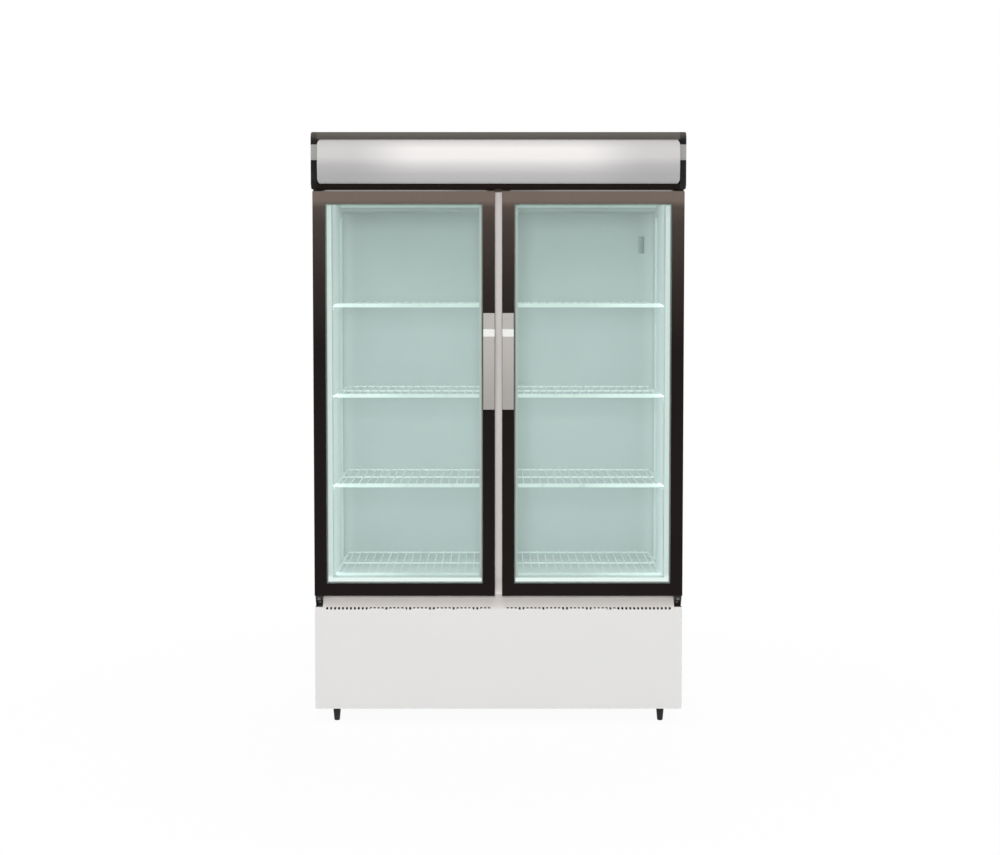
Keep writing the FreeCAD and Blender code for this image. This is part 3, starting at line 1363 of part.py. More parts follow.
def evaporator_coil():
    """Coil between two end plates that stand on the cover's floor."""
    y_low, z_low = coil_front(), coil_low()
    piece = finned_coil("evaporator_coil", -COIL_HALF, 2 * COIL_HALF, EVAPORATOR_ROWS,
                        y_low, S.coil_depth, z_low, S.coil_height)
    floor = COVER_LOW + S.cover_thick
    plate = rectangle(y_low, floor, y_low + S.coil_depth, z_low + S.coil_height)
    for x in (-COIL_HALF, COIL_HALF - S.cover_thick):
        piece.pad("YZ", x, S.cover_thick, plate)
    node("evaporator_coil", piece.body)


def fan(name, radius, hub_radius, hub_height, blades):
    """A hub with twisted blades round +Z, its underside at height zero."""
    piece = Piece(name)
    piece.pad("XY", 0, hub_height, Circle(as_size(0), as_size(0), hub_radius))
    middle = hub_height / 2

    def section(chord, degrees):
        run = chord * (math.cos(math.radians(degrees)) / 2)
        rise = chord * (math.sin(math.radians(degrees)) / 2)
        thick = hub_height / 10
        return [(-run, middle - rise), (run, middle + rise), (run - thick, middle + rise + thick),
                (-run - thick, middle - rise + thick)]

    root = section(hub_height, BLADE_ROOT_DEGREES)
    tip = section(hub_height * 2, BLADE_TIP_DEGREES)
    blade = piece.loft("YZ", (hub_radius - hub_height / 5, root), (radius, tip))
    piece.ring([blade], "Z", blades)
    bore = Circle(as_size(0), as_size(0), S.shaft_radius + S.running_fit)
    piece.pocket("XY", as_size(0), hub_height, bore)
    return piece.body


def evaporator_fans():
    floor = COVER_LOW + S.cover_thick
    hub_low = floor + S.fan_rise
    hub_top = hub_low + S.fan_hub_height
    motor_low = hub_top + S.motor_gap
    strap_low = motor_low + S.motor_height
    strap_top = strap_low + S.strap_thick
    motors = []
    for side, sign in SIDES.items():
        x = sign * FAN_X
        blades = fan(f"evaporator_fan_{side}", S.fan_radius, S.fan_hub_radius, S.fan_hub_height,
                     EVAPORATOR_BLADES)
        node(f"evaporator_fan_{side}", place(blades, x, fan_y(), hub_low))
        motor = Piece(f"{side}_fan_motor")
        outer, inner = S.strap_span, S.strap_span - S.strap_thick
        motor.pad("XZ", fan_y() - S.strap_width / 2, S.strap_width, [
            (x - outer, floor), (x - outer, strap_top), (x + outer, strap_top), (x + outer, floor),
            (x + inner, floor), (x + inner, strap_low), (x - inner, strap_low), (x - inner, floor)])
        motor.pad("XY", motor_low, S.motor_height, Circle(x, fan_y(), S.motor_radius))
        motor.pad("XY", hub_low, motor_low - hub_low, Circle(x, fan_y(), S.shaft_radius))
        motors.append(motor.body)
    node("evaporator_fan_motors", compound("evaporator_fan_motors", *motors))


# Refrigeration machine

def compressor():
    """Welded can with a domed lid on a sole plate, with its terminal cover."""
    plate_low = TRAY_TOP + S.mount_height
    plate_top = plate_low + S.sole_thick
    radius, seam = S.compressor_radius, S.compressor_seam
    rim = plate_top + S.compressor_skirt
    piece = Piece("compressor")
    piece.revolve([
        (as_size(0), plate_top), (S.compressor_foot, plate_top), (radius, plate_top + S.compressor_flare),
        (radius, rim), (radius + seam, rim), (radius + seam, rim + seam), (radius, rim + seam),
        (radius, plate_top + S.compressor_wall, S.compressor_crown),
        (as_size(0), plate_top + S.compressor_height)])
    holes = [Circle(x, y, S.mount_neck + S.mount_play) for x, y in sole_corners()]
    half_length, half_width = S.sole_length / 2, S.sole_width / 2
    sole = rectangle(-half_length, -half_width, half_length, half_width)
    piece.pad("XY", plate_low, S.sole_thick, sole, *holes)
    half = S.terminal_width / 2
    terminals = rectangle(-half, -S.terminal_reach, half, -radius / 2)
    piece.pad("XY", plate_top + S.terminal_rise, S.terminal_height, terminals)
    place(piece.body, COMPRESSOR_X, COMPRESSOR_Y, 0)
    node("compressor", piece.body)
    mounts = []
    for index, (x, y) in enumerate(sole_corners(), 1):
        rubber = Piece(f"rubber_mount_{index}")
        rubber.revolve([
            (as_size(0), TRAY_TOP), (S.mount_radius, TRAY_TOP),
            (S.mount_waist, TRAY_TOP + S.mount_height / 2), (S.mount_radius, plate_low),
            (S.mount_neck, plate_low), (S.mount_neck, plate_top + S.mount_play),
            (as_size(0), plate_top + S.mount_play)])
        mounts.append(place(rubber.body, COMPRESSOR_X + x, COMPRESSOR_Y + y, 0))
    node("compressor_mounts", compound("compressor_mounts", *mounts))


def sole_corners():
    x = S.sole_length / 2 - S.sole_inset
    y = S.sole_width / 2 - S.sole_inset
    return [(-x, -y), (x, -y), (x, y), (-x, y)]


def condenser_front():
    return FACE + S.condenser_front


def condenser():
    """Condenser, the shroud behind it, and the fan with its motor on a strap."""
    front = condenser_front()
    left, right = CONDENSER_LEFT, CONDENSER_LEFT + S.condenser_length
    low, high = TRAY_TOP, TRAY_TOP + S.condenser_height
    piece = finned_coil("condenser_coil", left, S.condenser_length, CONDENSER_ROWS,
                        front, S.condenser_depth, low, S.condenser_height)
    node("condenser_coil", piece.body)
    middle = (low + high) / 2
    plate_y = front + S.condenser_depth
    back_y = plate_y + S.shroud_thick
    bore = Circle(CONDENSER_X, middle, S.cooling_fan_radius + S.fan_tip_gap)
    collar = Circle(CONDENSER_X, middle, bore.radius + S.shroud_thick)
    shroud = Piece("condenser_fan_shroud")
    shroud.pad("XZ", plate_y, S.shroud_thick, rectangle(left, low, right, high), bore)
    shroud.pad("XZ", plate_y, S.shroud_ring, collar, bore)
    node("condenser_fan_shroud", shroud.body)
    blades = fan("condenser_fan", S.cooling_fan_radius, S.cooling_fan_hub, S.cooling_fan_height,
                 CONDENSER_BLADES)
    hub_y = back_y + S.cooling_fan_gap
    node("condenser_fan", place(blades, CONDENSER_X, hub_y, middle, AXIS_TURN["Y"]))
    motor = Piece("condenser_fan_motor")
    motor_y = hub_y + S.cooling_fan_height + S.motor_gap
    strap_y = motor_y + S.cooling_motor_length
    thick = S.strap_thick
    motor.pad("YZ", CONDENSER_X - S.strap_width / 2, S.strap_width, [
        (back_y, low), (strap_y + thick, low), (strap_y + thick, high), (back_y, high),
        (back_y, high - thick), (strap_y, high - thick), (strap_y, low + thick), (back_y, low + thick)])
    can = Circle(CONDENSER_X, middle, S.cooling_motor_radius)
    motor.pad("XZ", motor_y, S.cooling_motor_length, can)
    motor.pad("XZ", hub_y, motor_y - hub_y, Circle(CONDENSER_X, middle, S.shaft_radius))
    node("condenser_fan_motor", motor.body)


def pan_sides():
    """Left, right, front and rear of the evaporation tray."""
    right = foot_places()["rear_right"][0] - S.nut_radius - S.pan_side_gap
    rear = GRILLE - S.back_thick - S.pan_back_gap
    return right - S.pan_length, right, rear - S.pan_width, rear


def evaporation_tray():
    left, right, front, rear = pan_sides()
    wall = S.pan_thick
    piece = Piece("evaporation_tray")
    piece.pad("XY", TRAY_TOP, S.pan_height, rectangle(left, front, right, rear))
    inside = rectangle(left + wall, front + wall, right - wall, rear - wall)
    piece.pocket("XY", TRAY_TOP + wall, S.pan_height, inside)
    node("evaporation_tray", piece.body)


def port_level():
    """Height of the compressor's pipes."""
    return TRAY_TOP + S.mount_height + S.sole_thick + S.compressor_port


def suction_route():
    """From the compressor, up the riser channel and into the evaporator's end."""
    x = RISER_X + S.riser_spread
    port = port_level()
    run = DECK - 2 * S.pipe_bend
    top = tube_height(coil_low(), S.coil_height, EVAPORATOR_ROWS, EVAPORATOR_ROWS - 1)
    end = coil_front() + S.coil_depth * 3 / 4
    return [
        (COMPRESSOR_X + S.compressor_radius, COMPRESSOR_Y, port), (x, COMPRESSOR_Y, port),
        (x, COMPRESSOR_Y, run), (x, RISER_Y, run), (x, RISER_Y, top), (x, end, top), (COIL_HALF, end, top)]


def hose_route():
    """From the drip channel, down the riser channel and into the evaporation tray."""
    x = RISER_X - S.riser_spread
    top = COVER_LOW + S.cover_thick + S.hose_radius + S.hole_play
    run = DECK - S.hose_drop
    _, _, front, rear = pan_sides()
    pan = (front + rear) / 2
    return [
        (x, coil_front() + S.coil_depth, top), (x, RISER_Y, top), (x, RISER_Y, run), (x, pan, run),
        (x, pan, TRAY_TOP + S.hose_end)]


def refrigerant_pipes():
    """Discharge and liquid lines with the filter drier, and the suction riser to the evaporator."""
    radius, bend = S.pipe_radius, S.pipe_bend
    coil_right = CONDENSER_LEFT + S.condenser_length
    coil_y = condenser_front() + S.condenser_depth * 3 / 4
    low = tube_height(TRAY_TOP, S.condenser_height, CONDENSER_ROWS, 0)
    high = tube_height(TRAY_TOP, S.condenser_height, CONDENSER_ROWS, CONDENSER_ROWS - 1)
    lane = COMPRESSOR_X - S.pipe_lane
    port = port_level()
    discharge = pipe("discharge_pipe", radius, bend, [
        (COMPRESSOR_X - S.compressor_radius, COMPRESSOR_Y, port), (lane, COMPRESSOR_Y, port),
        (lane, coil_y, port), (lane, coil_y, high), (coil_right, coil_y, high)])
    drier_x = coil_right + S.drier_length / 2
    liquid = pipe("liquid_pipe", radius, bend, [(coil_right, coil_y, low), (drier_x, coil_y, low)])
    drier = cylinder("filter_drier", drier_x, coil_y, low, S.drier_radius, S.drier_length, "X")
    suction = pipe("suction_pipe", radius, bend, suction_route())
    line = fuse("liquid_line", liquid, drier)
    node("refrigerant_pipes", compound("refrigerant_pipes", discharge, line, suction))


def drain_hose():
    node("drain_hose", pipe("drain_hose", S.hose_radius, S.pipe_bend, hose_route()))


def control_box():
    right = SHELL_IN - S.control_side_gap
    front = SHELL_FRONT + S.control_front_gap
    left, low = right - S.control_length, DECK - S.control_height
    piece = Piece("control_box")
    piece.pad("XY", low, S.control_height, rectangle(left, front, right, front + S.control_depth))
    middle = front + S.control_depth / 2
    piece.round(S.control_round, (left, front, (low + DECK) / 2), (right, front, (low + DECK) / 2),
                ((left + right) / 2, front, low), (left, middle, low), (right, middle, low))
    node("control_box", piece.body)


def build():
    outer_shell()
    back_panel()
    insulation_and_liner()
    front_frame()
    centre_mullion()
    base_tray()
    feet()
    front_panel()
    rear_grille()
    cable_gland()
    for side in SIDES:
        door_frame(side)
        door_corner_blocks(side)
        door_glazing(side)
        door_gasket(side)
        door_handle(side)
    bottom_hinges()
    top_hinges()
    canopy_housing()
    canopy_sign_panel()
    canopy_end_caps()
    canopy_led_board()
    shelves()
    shelf_uprights()
    shelf_clips()
    led_bars()
    temperature_probe_cover()
    evaporator_cover()
    evaporator_coil()
    evaporator_fans()
    compressor()
    condenser()
    evaporation_tray()
    refrigerant_pipes()
    drain_hose()
    control_box()
    doc.recompute()


def check():
    for thing in doc.Objects:
        if {"Invalid", "Error"} & set(thing.State):
            raise RuntimeError(f"{thing.Name} failed: {thing.State}")
        if thing.TypeId == "PartDesign::Pocket" and thing.Shape.Volume >= thing.BaseFeature.Shape.Volume:
            raise RuntimeError(f"{thing.Name} cuts nothing")
    for label, thing in nodes.items():
        shape = Part.getShape(thing)
        if shape.isNull() or not shape.isValid() or not shape.Solids:
            raise RuntimeError(f"{label} has no sound solid")


def write():
    os.makedirs("parts", exist_ok=True)
    for label, thing in nodes.items():
        Part.getShape(thing).exportStep(f"parts/{label}.step")


build()
check()
write()
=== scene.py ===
"""Finishes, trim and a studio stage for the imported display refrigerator."""

import json
import math

import bpy
from bpy.props import FloatProperty, FloatVectorProperty, PointerProperty
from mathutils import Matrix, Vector


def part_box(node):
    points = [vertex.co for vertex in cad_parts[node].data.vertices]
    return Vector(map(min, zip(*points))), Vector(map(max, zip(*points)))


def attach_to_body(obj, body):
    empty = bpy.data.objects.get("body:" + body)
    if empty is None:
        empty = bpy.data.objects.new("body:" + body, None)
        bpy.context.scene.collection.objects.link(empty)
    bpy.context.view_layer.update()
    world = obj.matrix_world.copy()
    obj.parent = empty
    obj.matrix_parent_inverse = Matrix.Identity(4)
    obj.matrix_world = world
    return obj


bl_info = {
    "name": "Display Refrigerator Dressing",
    "version": (1, 0, 0),
    "blender": (4, 5, 0),
    "location": "3D View > Sidebar > Refrigerator",
    "description": "Finishes, trim and a studio stage for a two-door display refrigerator",
    "category": "Object",
}

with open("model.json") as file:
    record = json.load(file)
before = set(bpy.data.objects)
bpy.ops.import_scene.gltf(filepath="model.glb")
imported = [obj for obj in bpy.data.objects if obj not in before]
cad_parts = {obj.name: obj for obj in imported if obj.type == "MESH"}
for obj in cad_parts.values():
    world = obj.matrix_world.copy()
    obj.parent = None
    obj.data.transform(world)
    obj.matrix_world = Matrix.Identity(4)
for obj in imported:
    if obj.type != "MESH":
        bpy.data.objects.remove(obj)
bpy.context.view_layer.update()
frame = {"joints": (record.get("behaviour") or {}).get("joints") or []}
CAP_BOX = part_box("canopy_end_caps")
CANOPY_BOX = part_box("canopy_housing")
SIGN_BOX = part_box("canopy_sign_panel")
DOOR_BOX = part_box("left_door_frame")
HANDLE_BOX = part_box("left_door_handle")
FRAME_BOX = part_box("front_frame")
LINER_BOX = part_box("inner_liner")
BAR_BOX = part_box("led_diffusers")
SHELF_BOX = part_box("shelf_left_1")
COVER_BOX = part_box("evaporator_cover")
PROBE_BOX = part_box("temperature_probe_cover")
GRILLE_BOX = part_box("rear_grille")
BACK_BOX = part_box("back_panel")
HINGE_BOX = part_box("bottom_hinges")
PINS = {joint["name"]: Vector(joint["pos_m"]) for joint in frame["joints"]}
SIDES = ("left", "right")
SHELF_LEVELS = (1, 2, 3, 4)
BLACK = (0, 0, 0)
WHITE = (1, 1, 1)
DUST = (0.5, 0.49, 0.47)
BRIGHT_ZINC = (0.62, 0.62, 0.6)
DARK_STEEL = (0.2, 0.2, 0.2)


def past(edge, begin, end):
    """Begin and end of a change, counted from an edge."""
    return (edge + begin, edge + end)


# Where a finish changes: each pair is the begin and the end of the change, in metres.
POST_EDGE = (0.036, 0.044)
# Where the post's painted shade behind the panes begins.
POST_PAINTED_SHADE = (0.04, 0.048)
# From here to the sill: where the frame's painted glow lies, at the jambs, inside the doorway and
# on the sill.
JAMB_PAINTED_GLOW_RISE = (0.1, 0.2)
OPENING_SIDE = past(LINER_BOX[1].x, 0, 0.012)
OPENING_TOP = past(LINER_BOX[1].z, 0, 0.02)
SILL_PAINTED_GLOW_FOOT = past(FRAME_BOX[0].z, 0.03, 0.06)
SILL_PAINTED_GLOW_TOP = past(FRAME_BOX[0].z, 0.09, 0.1)
# The painted shade over the doors, then the fade of the door frames' painted reflection.
DOOR_HEAD_PAINTED_SHADE = past(DOOR_BOX[1].z, -0.003, 0)
DOOR_PAINTED_REFLECTION_FADE = past(DOOR_BOX[1].z, -0.53, 0)
# The canopy's painted reflection, the caps' painted highlight and the sign's painted reflection.
CANOPY_REFLECTION_RISE = (CANOPY_BOX[0].z, CANOPY_BOX[1].z)
CAP_PAINTED_HIGHLIGHT_TOP = past(CAP_BOX[1].z, -0.03, -0.002)
SIGN_REFLECTION_RISE = (SIGN_BOX[0].z, SIGN_BOX[1].z)
SIGN_HIGHLIGHT_SIDE = (0.26, 0.5)
# The handle's painted highlight on its slope and its grip's painted shade.
HIGHLIGHT_SLOPE_TOP = (0.0525, 0.0555)
HIGHLIGHT_SLOPE_FOOT = (0.0765, 0.0795)
GRIP_PAINTED_SHADE_RUN = (0.078, HANDLE_BOX[1].z - HANDLE_BOX[0].z)
BAR_HEAD = past(BAR_BOX[1].z, -0.56, 0)
BAR_FOOT = past(BAR_BOX[0].z, 0.1, 0.5)
# The liner's painted glow and painted shade.
LINER_PAINTED_GLOW_DEPTH = (LINER_BOX[0].y, LINER_BOX[1].y)
LINER_PAINTED_SHADE_FADE = past(LINER_BOX[1].y, -0.3, 0)
LINER_PAINTED_GLOW_REAR = past(LINER_BOX[1].y, -0.03, -0.01)
LINER_PAINTED_SHADE_HEAD = past(LINER_BOX[1].z, -0.5, -0.19)
LINER_PAINTED_GLOW_FLOOR = past(LINER_BOX[0].z, 0.006, 0.01)
LINER_PAINTED_GLOW_WALL = past(LINER_BOX[1].x, -0.006, -0.004)
LINER_PAINTED_GLOW_CORNER = past(LINER_BOX[1].x, -0.06, -0.01)
# The cover's painted shade along its lower rim.
COVER_RIM_PAINTED_SHADE = past(COVER_BOX[0].z, 0.0105, 0.0125)
PROBE_RUN = (PROBE_BOX[0].x, PROBE_BOX[1].x)
# The shelf's painted shade behind its front rail and painted highlight at the rail's outer ends.
RAIL_BACK = past(SHELF_BOX[0].y, 0.012, 0.03)
RAIL_OUTER_PAINTED_HIGHLIGHT = (0.29, 0.43)
PIN_TOP = past(HINGE_BOX[0].z, 0.0315, 0.0325)
PIN_REACH = (0.0069, 0.0073)
FLOOR_FADE = (0.8, 2.6)

# The same for how far a surface faces up, from -1 to 1.
# The ledge's range bounds a painted light; the others bound dust and painted shade.
LEDGE_PAINTED_LIGHT_SLOPE = (0.2, 0.4)
DUST_SLOPE = (0.55, 0.98)
UNDERSIDE_PAINTED_SHADE = (-0.9, -0.5)

# Rows of places from 0 to 1, each with its share of the second of two colours.
# Grades of the painted reflections on the door frames, the canopy and the sign.
BRONZE_REFLECTION_GRADE = ((0.0, 0.0), (0.43, 0.1), (0.8, 0.26), (0.9, 0.42), (0.94, 0.9), (1.0, 1.0))
CANOPY_REFLECTION_GRADE = ((0.0, 0.0), (0.5, 0.0), (0.9, 0.6), (1.0, 1.0))
# The sign's two rows paint its reflection, away from the centre and near it.
SIGN_REFLECTION_PLAIN = ((0.0, 0.02), (0.23, 0.03), (0.41, 0.13), (0.6, 0.42), (0.78, 0.45), (1.0, 0.3))
SIGN_REFLECTION_LIT = (
    (0.0, 0.1), (0.23, 0.18), (0.41, 0.5), (0.56, 0.88), (0.78, 0.95), (0.9, 0.62), (1.0, 0.45))

# Cells in a metre of the patterns that several finishes share.
CLOUD_CELLS = 2.4
WAVE_CELLS = 3.2
PEEL_CELLS = 620.0
GRAIN_CELLS = 900.0

# Trim: shares of a screw head's radius and height and of a bolt head's radius, and mesh settings.
SCREW_SIDES = 20
SCREW_RIM = 0.4
SCREW_DOME = ((0.12, 0.3), (0.3, 0.3))
SLOT_WIDTH = 0.22
SLOT_LENGTH = 1.1
BOLT_SIDES = 6
BOLT_INSET = 0.18
BOLT_DOME = 0.25
BOLT_EDGE = 0.08
SIDE_SCREWS = 6
BEND_STEPS = 8
EDGE_STEPS = 2
SQUARE_ON = 0.9
NEAR = 0.0001
MERGE_DISTANCE = 0.000001
SHARP_ANGLE = math.radians(40)
SMOOTH_ANGLE = math.radians(35)

# Stage
MIDDLE = (0, 0, 1.0)
FLOOR_SIZE = 60
SENSOR_WIDTH = 36.0
PANE_BOUNCES = 32
# Name, place, target, size, setting of its power, and whether glossy surfaces mirror it
LAMPS = (
    ("front_lamp", (-0.15, -6.4, 2.0), MIDDLE, (1.1, 1.0), "front_power", False),
    ("left_lamp", (-4.4, -0.6, 2.6), MIDDLE, (2.2, 2.2), "side_power", True),
    ("right_lamp", (4.4, -0.6, 2.6), MIDDLE, (2.2, 2.2), "side_power", True),
    ("top_lamp", (0, -1.2, 4.8), (0, -0.2, 1.4), (3.0, 1.6), "top_power", True),
    ("rear_lamp", (0.8, 5.2, 3.0), MIDDLE, (3.0, 2.4), "rear_power", False),
)


# Properties

def screen(red, green, blue):
    """Linear colour of an 8-bit screen colour."""
    shares = [value / 255 for value in (red, green, blue)]
    return tuple(s / 12.92 if s <= 0.04045 else ((s + 0.055) / 1.055) ** 2.4 for s in shares)


def tone(name, description, red, green, blue):
    """Colour property that starts at a screen colour."""
    return FloatVectorProperty(
        name=name, description=description, subtype="COLOR", size=3, min=0, max=1,
        default=screen(red, green, blue))


def number(subtype, unit):
    """Maker of number properties of one kind."""
    def made(name, description, default):
        return FloatProperty(
            name=name, description=description, subtype=subtype, unit=unit, default=default)
    return made


length = number("DISTANCE", "LENGTH")
amount = number("FACTOR", "NONE")
power = number("POWER", "POWER")
focal_length = number("DISTANCE_CAMERA", "CAMERA")


class FridgeColours(bpy.types.PropertyGroup):
    """Colours of the refrigerator's finishes"""

    cabinet_white: tone("Cabinet White", "Powder coat of the shell and front panel", 230, 229, 228)
    # Painted light: a paler tone that lifts the shade the doors cast on the ledge.
    ledge_painted_light: tone("Ledge White", "Ledge over the front panel", 252, 246, 241)
    frame_white: tone("Frame White", "Frame round the two doorways", 246, 247, 246)
    frame_grey: tone("Post Grey", "Paint of the post between the doors", 250, 244, 241)
    # Painted reflection: the pale top of the door frames' gradient.
    bronze_reflection_top: tone("Bronze Top", "Door frame at its top rail", 129, 115, 106)
    bronze_low: tone("Bronze Low", "Door frame from the handles down", 29, 23, 23)
    # Painted reflection: the upper lip is lighter as if it mirrored the bright overhead.
    canopy_reflection_top: tone("Canopy Top", "Upper lip of the canopy", 116, 112, 107)
    canopy_low: tone("Canopy Low", "Lower lip of the canopy", 27, 20, 18)
    # Painted reflection: the bright and dull ends of the sign's reflection gradient.
    sign_reflection_bright: tone("Sign Bright", "Bright band of the sign panel", 250, 247, 245)
    sign_reflection_dull: tone("Sign Dull", "Lower half of the sign panel", 172, 171, 172)
    cap_black: tone("Cap Black", "Moulded canopy end caps", 31, 30, 30)
    band_grey: tone("Band Grey", "Inlaid bands of the end caps", 156, 156, 152)
    handle_silver: tone("Handle Silver", "Anodised door handles", 186, 182, 178)
    spacer_silver: tone("Spacer Silver", "Bars between the panes", 124, 130, 127)
    glass_tint: tone("Glass Tint", "What one face of a pane lets through", 252, 255, 254)
    gasket_grey: tone("Gasket Grey", "Door seals", 178, 173, 171)
    liner_white: tone("Liner White", "Inner liner near the doors", 248, 251, 251)
    # Painted shade: the grey the liner takes towards its back wall.
    liner_back_painted_shade: tone("Liner Back", "Inner liner at its back wall", 195, 200, 201)
    cover_grey: tone("Cover Grey", "Evaporator cover", 232, 238, 236)
    shelf_white: tone("Shelf White", "Front rail of the shelves", 244, 248, 247)
    # Painted shade: the grey of the wires behind the front rail.
    shelf_painted_shade_grey: tone("Shelf Grey", "Shelf wires behind the front rail", 226, 231, 230)
    upright_grey: tone("Upright Grey", "Slotted uprights and shelf clips", 228, 234, 234)
    channel_white: tone("Channel White", "Channels that hold the light bars", 238, 242, 241)
    lamp_white: tone("Lamp White", "Light bars", 236, 250, 255)
    probe_grey: tone("Probe Grey", "Sensor cover", 172, 180, 178)
    hinge_black: tone("Hinge Black", "Hinge brackets", 24, 23, 24)
    zinc_grey: tone("Zinc Grey", "Galvanised sheet", 176, 179, 181)
    machine_black: tone("Machine Black", "Compressor enamel", 26, 26, 28)
    plastic_black: tone("Plastic Black", "Fans, trays and boxes", 44, 44, 46)
    foot_black: tone("Foot Black", "Levelling feet", 32, 31, 31)
    rubber_black: tone("Rubber Black", "Compressor mounts", 28, 27, 27)
    copper: tone("Copper", "Refrigerant pipes", 196, 128, 92)
    coil_silver: tone("Coil Silver", "Coil fins", 190, 193, 195)
    foam_cream: tone("Foam Cream", "Insulation", 226, 208, 158)
    hose_white: tone("Hose White", "Drain hose", 205, 204, 198)
    board_white: tone("Board White", "Canopy light board", 232, 233, 228)


class FridgeTrim(bpy.types.PropertyGroup):
    """Sizes of the trim that is added to the refrigerator"""

    band_low: length("Band Low", "Height of the end-cap bands' lower edge", CAP_BOX[0].z + 0.0962)
    band_height: length("Band Height", "Height of the end-cap bands", 0.0516)
    band_thick: length("Band Thickness", "Thickness of the end-cap bands", 0.0009)
    band_corner: length("Band Corner", "Outer corner radius of the end-cap bands", 0.005)
    band_inner: length("Band Inner End", "Distance of the bands' inner end from the middle", 0.6042)
    band_back: length("Band Back End", "Depth at which the bands end on the sides", -0.2722)
    band_edge: length("Band Edge", "Rounding of the bands' edges", 0.0003)
    screw_radius: length("Screw Radius", "Radius of the sheet screws' heads", 0.0045)
    screw_height: length("Screw Height", "Height of the sheet screws' heads", 0.0024)
    screw_inset: length("Screw Inset", "Distance of the screws from the sheets' edges", 0.012)
    bolt_radius: length("Bolt Radius", "Corner radius of the hinge bolts' heads", 0.0052)
    bolt_height: length("Bolt Height", "Height of the hinge bolts' heads", 0.0032)
    bolt_rise: length("Bolt Rise", "Height of the bolts over the brackets' lower edge", 0.0115)
    bolt_wall: length("Bolt Wall", "Thickness of the bracket's wall behind the bolts", 0.004)


class FridgeStage(bpy.types.PropertyGroup):
    """Camera, lamps and floor of the studio stage"""

    camera_distance: length("Camera Distance", "Distance of the camera from the door faces", 6.0)
    camera_height: length("Camera Height", "Height of the camera over the floor", 1.516)
    aim_height: length("Aim Height", "Height at the door faces that the camera points at", 1.178)
    lens: focal_length("Lens", "Focal length of the camera", 64.35)
    shift_x: amount("Shift X", "Sideways shift of the camera's frame", 0.0015)
    shift_y: amount("Shift Y", "Upright shift of the camera's frame", -0.0505)
    ambient: amount("Ambient", "Even light from all round", 0.36)
    front_power: power("Front Power", "Lamp over the camera", 162.0)
    side_power: power("Side Power", "Lamps on the left and the right", 56.0)
    top_power: power("Top Power", "Lamp from above", 14.0)
    rear_power: power("Rear Power", "Lamp from behind", 150.0)
    inside_power: amount("Inside Power", "Strength of the light bars", 7.2)
    # Painted glow: the frame's sill and jambs glow as if lit from inside, though they are no lamp.
    sill_glow: amount("Sill Glow", "Strength of the light that comes through the sill", 0.92)
    # Painted glow: the post's paint in the gap between the doors glows though it is no lamp.
    post_glow: amount("Post Glow", "Strength of the light that comes through beside the post", 0.07)
    # Painted glow: the liner's side walls glow as if lit by the bars, though they are no lamp.
    wall_glow: amount("Wall Glow", "Strength of the bars' light along the side walls", 0.24)
    # Painted glow: the shelves glow as if lit by the bars, though they are no lamp.
    shelf_glow: amount("Shelf Glow", "Strength of the bars' light on the shelves", 0.17)
    shadow_share: amount("Shadow Share", "Share of the floor that takes the shadow", 0.05)


# Finishes

class Value:
    """One output of a node, which takes part in sums."""

    def __init__(self, recipe, link):
        self.recipe = recipe
        self.link = link

    def __add__(self, other):
        return self.recipe.maths("ADD", self, other)

    __radd__ = __add__

    def __sub__(self, other):
        return self.recipe.maths("SUBTRACT", self, other)

    def __rsub__(self, other):
        return self.recipe.maths("SUBTRACT", other, self)

    def __mul__(self, other):
        return self.recipe.maths("MULTIPLY", self, other)

    __rmul__ = __mul__

    def __pow__(self, other):
        return self.recipe.maths("POWER", self, other)

    def __abs__(self):
        return self.recipe.maths("ABSOLUTE", self, 0.0)


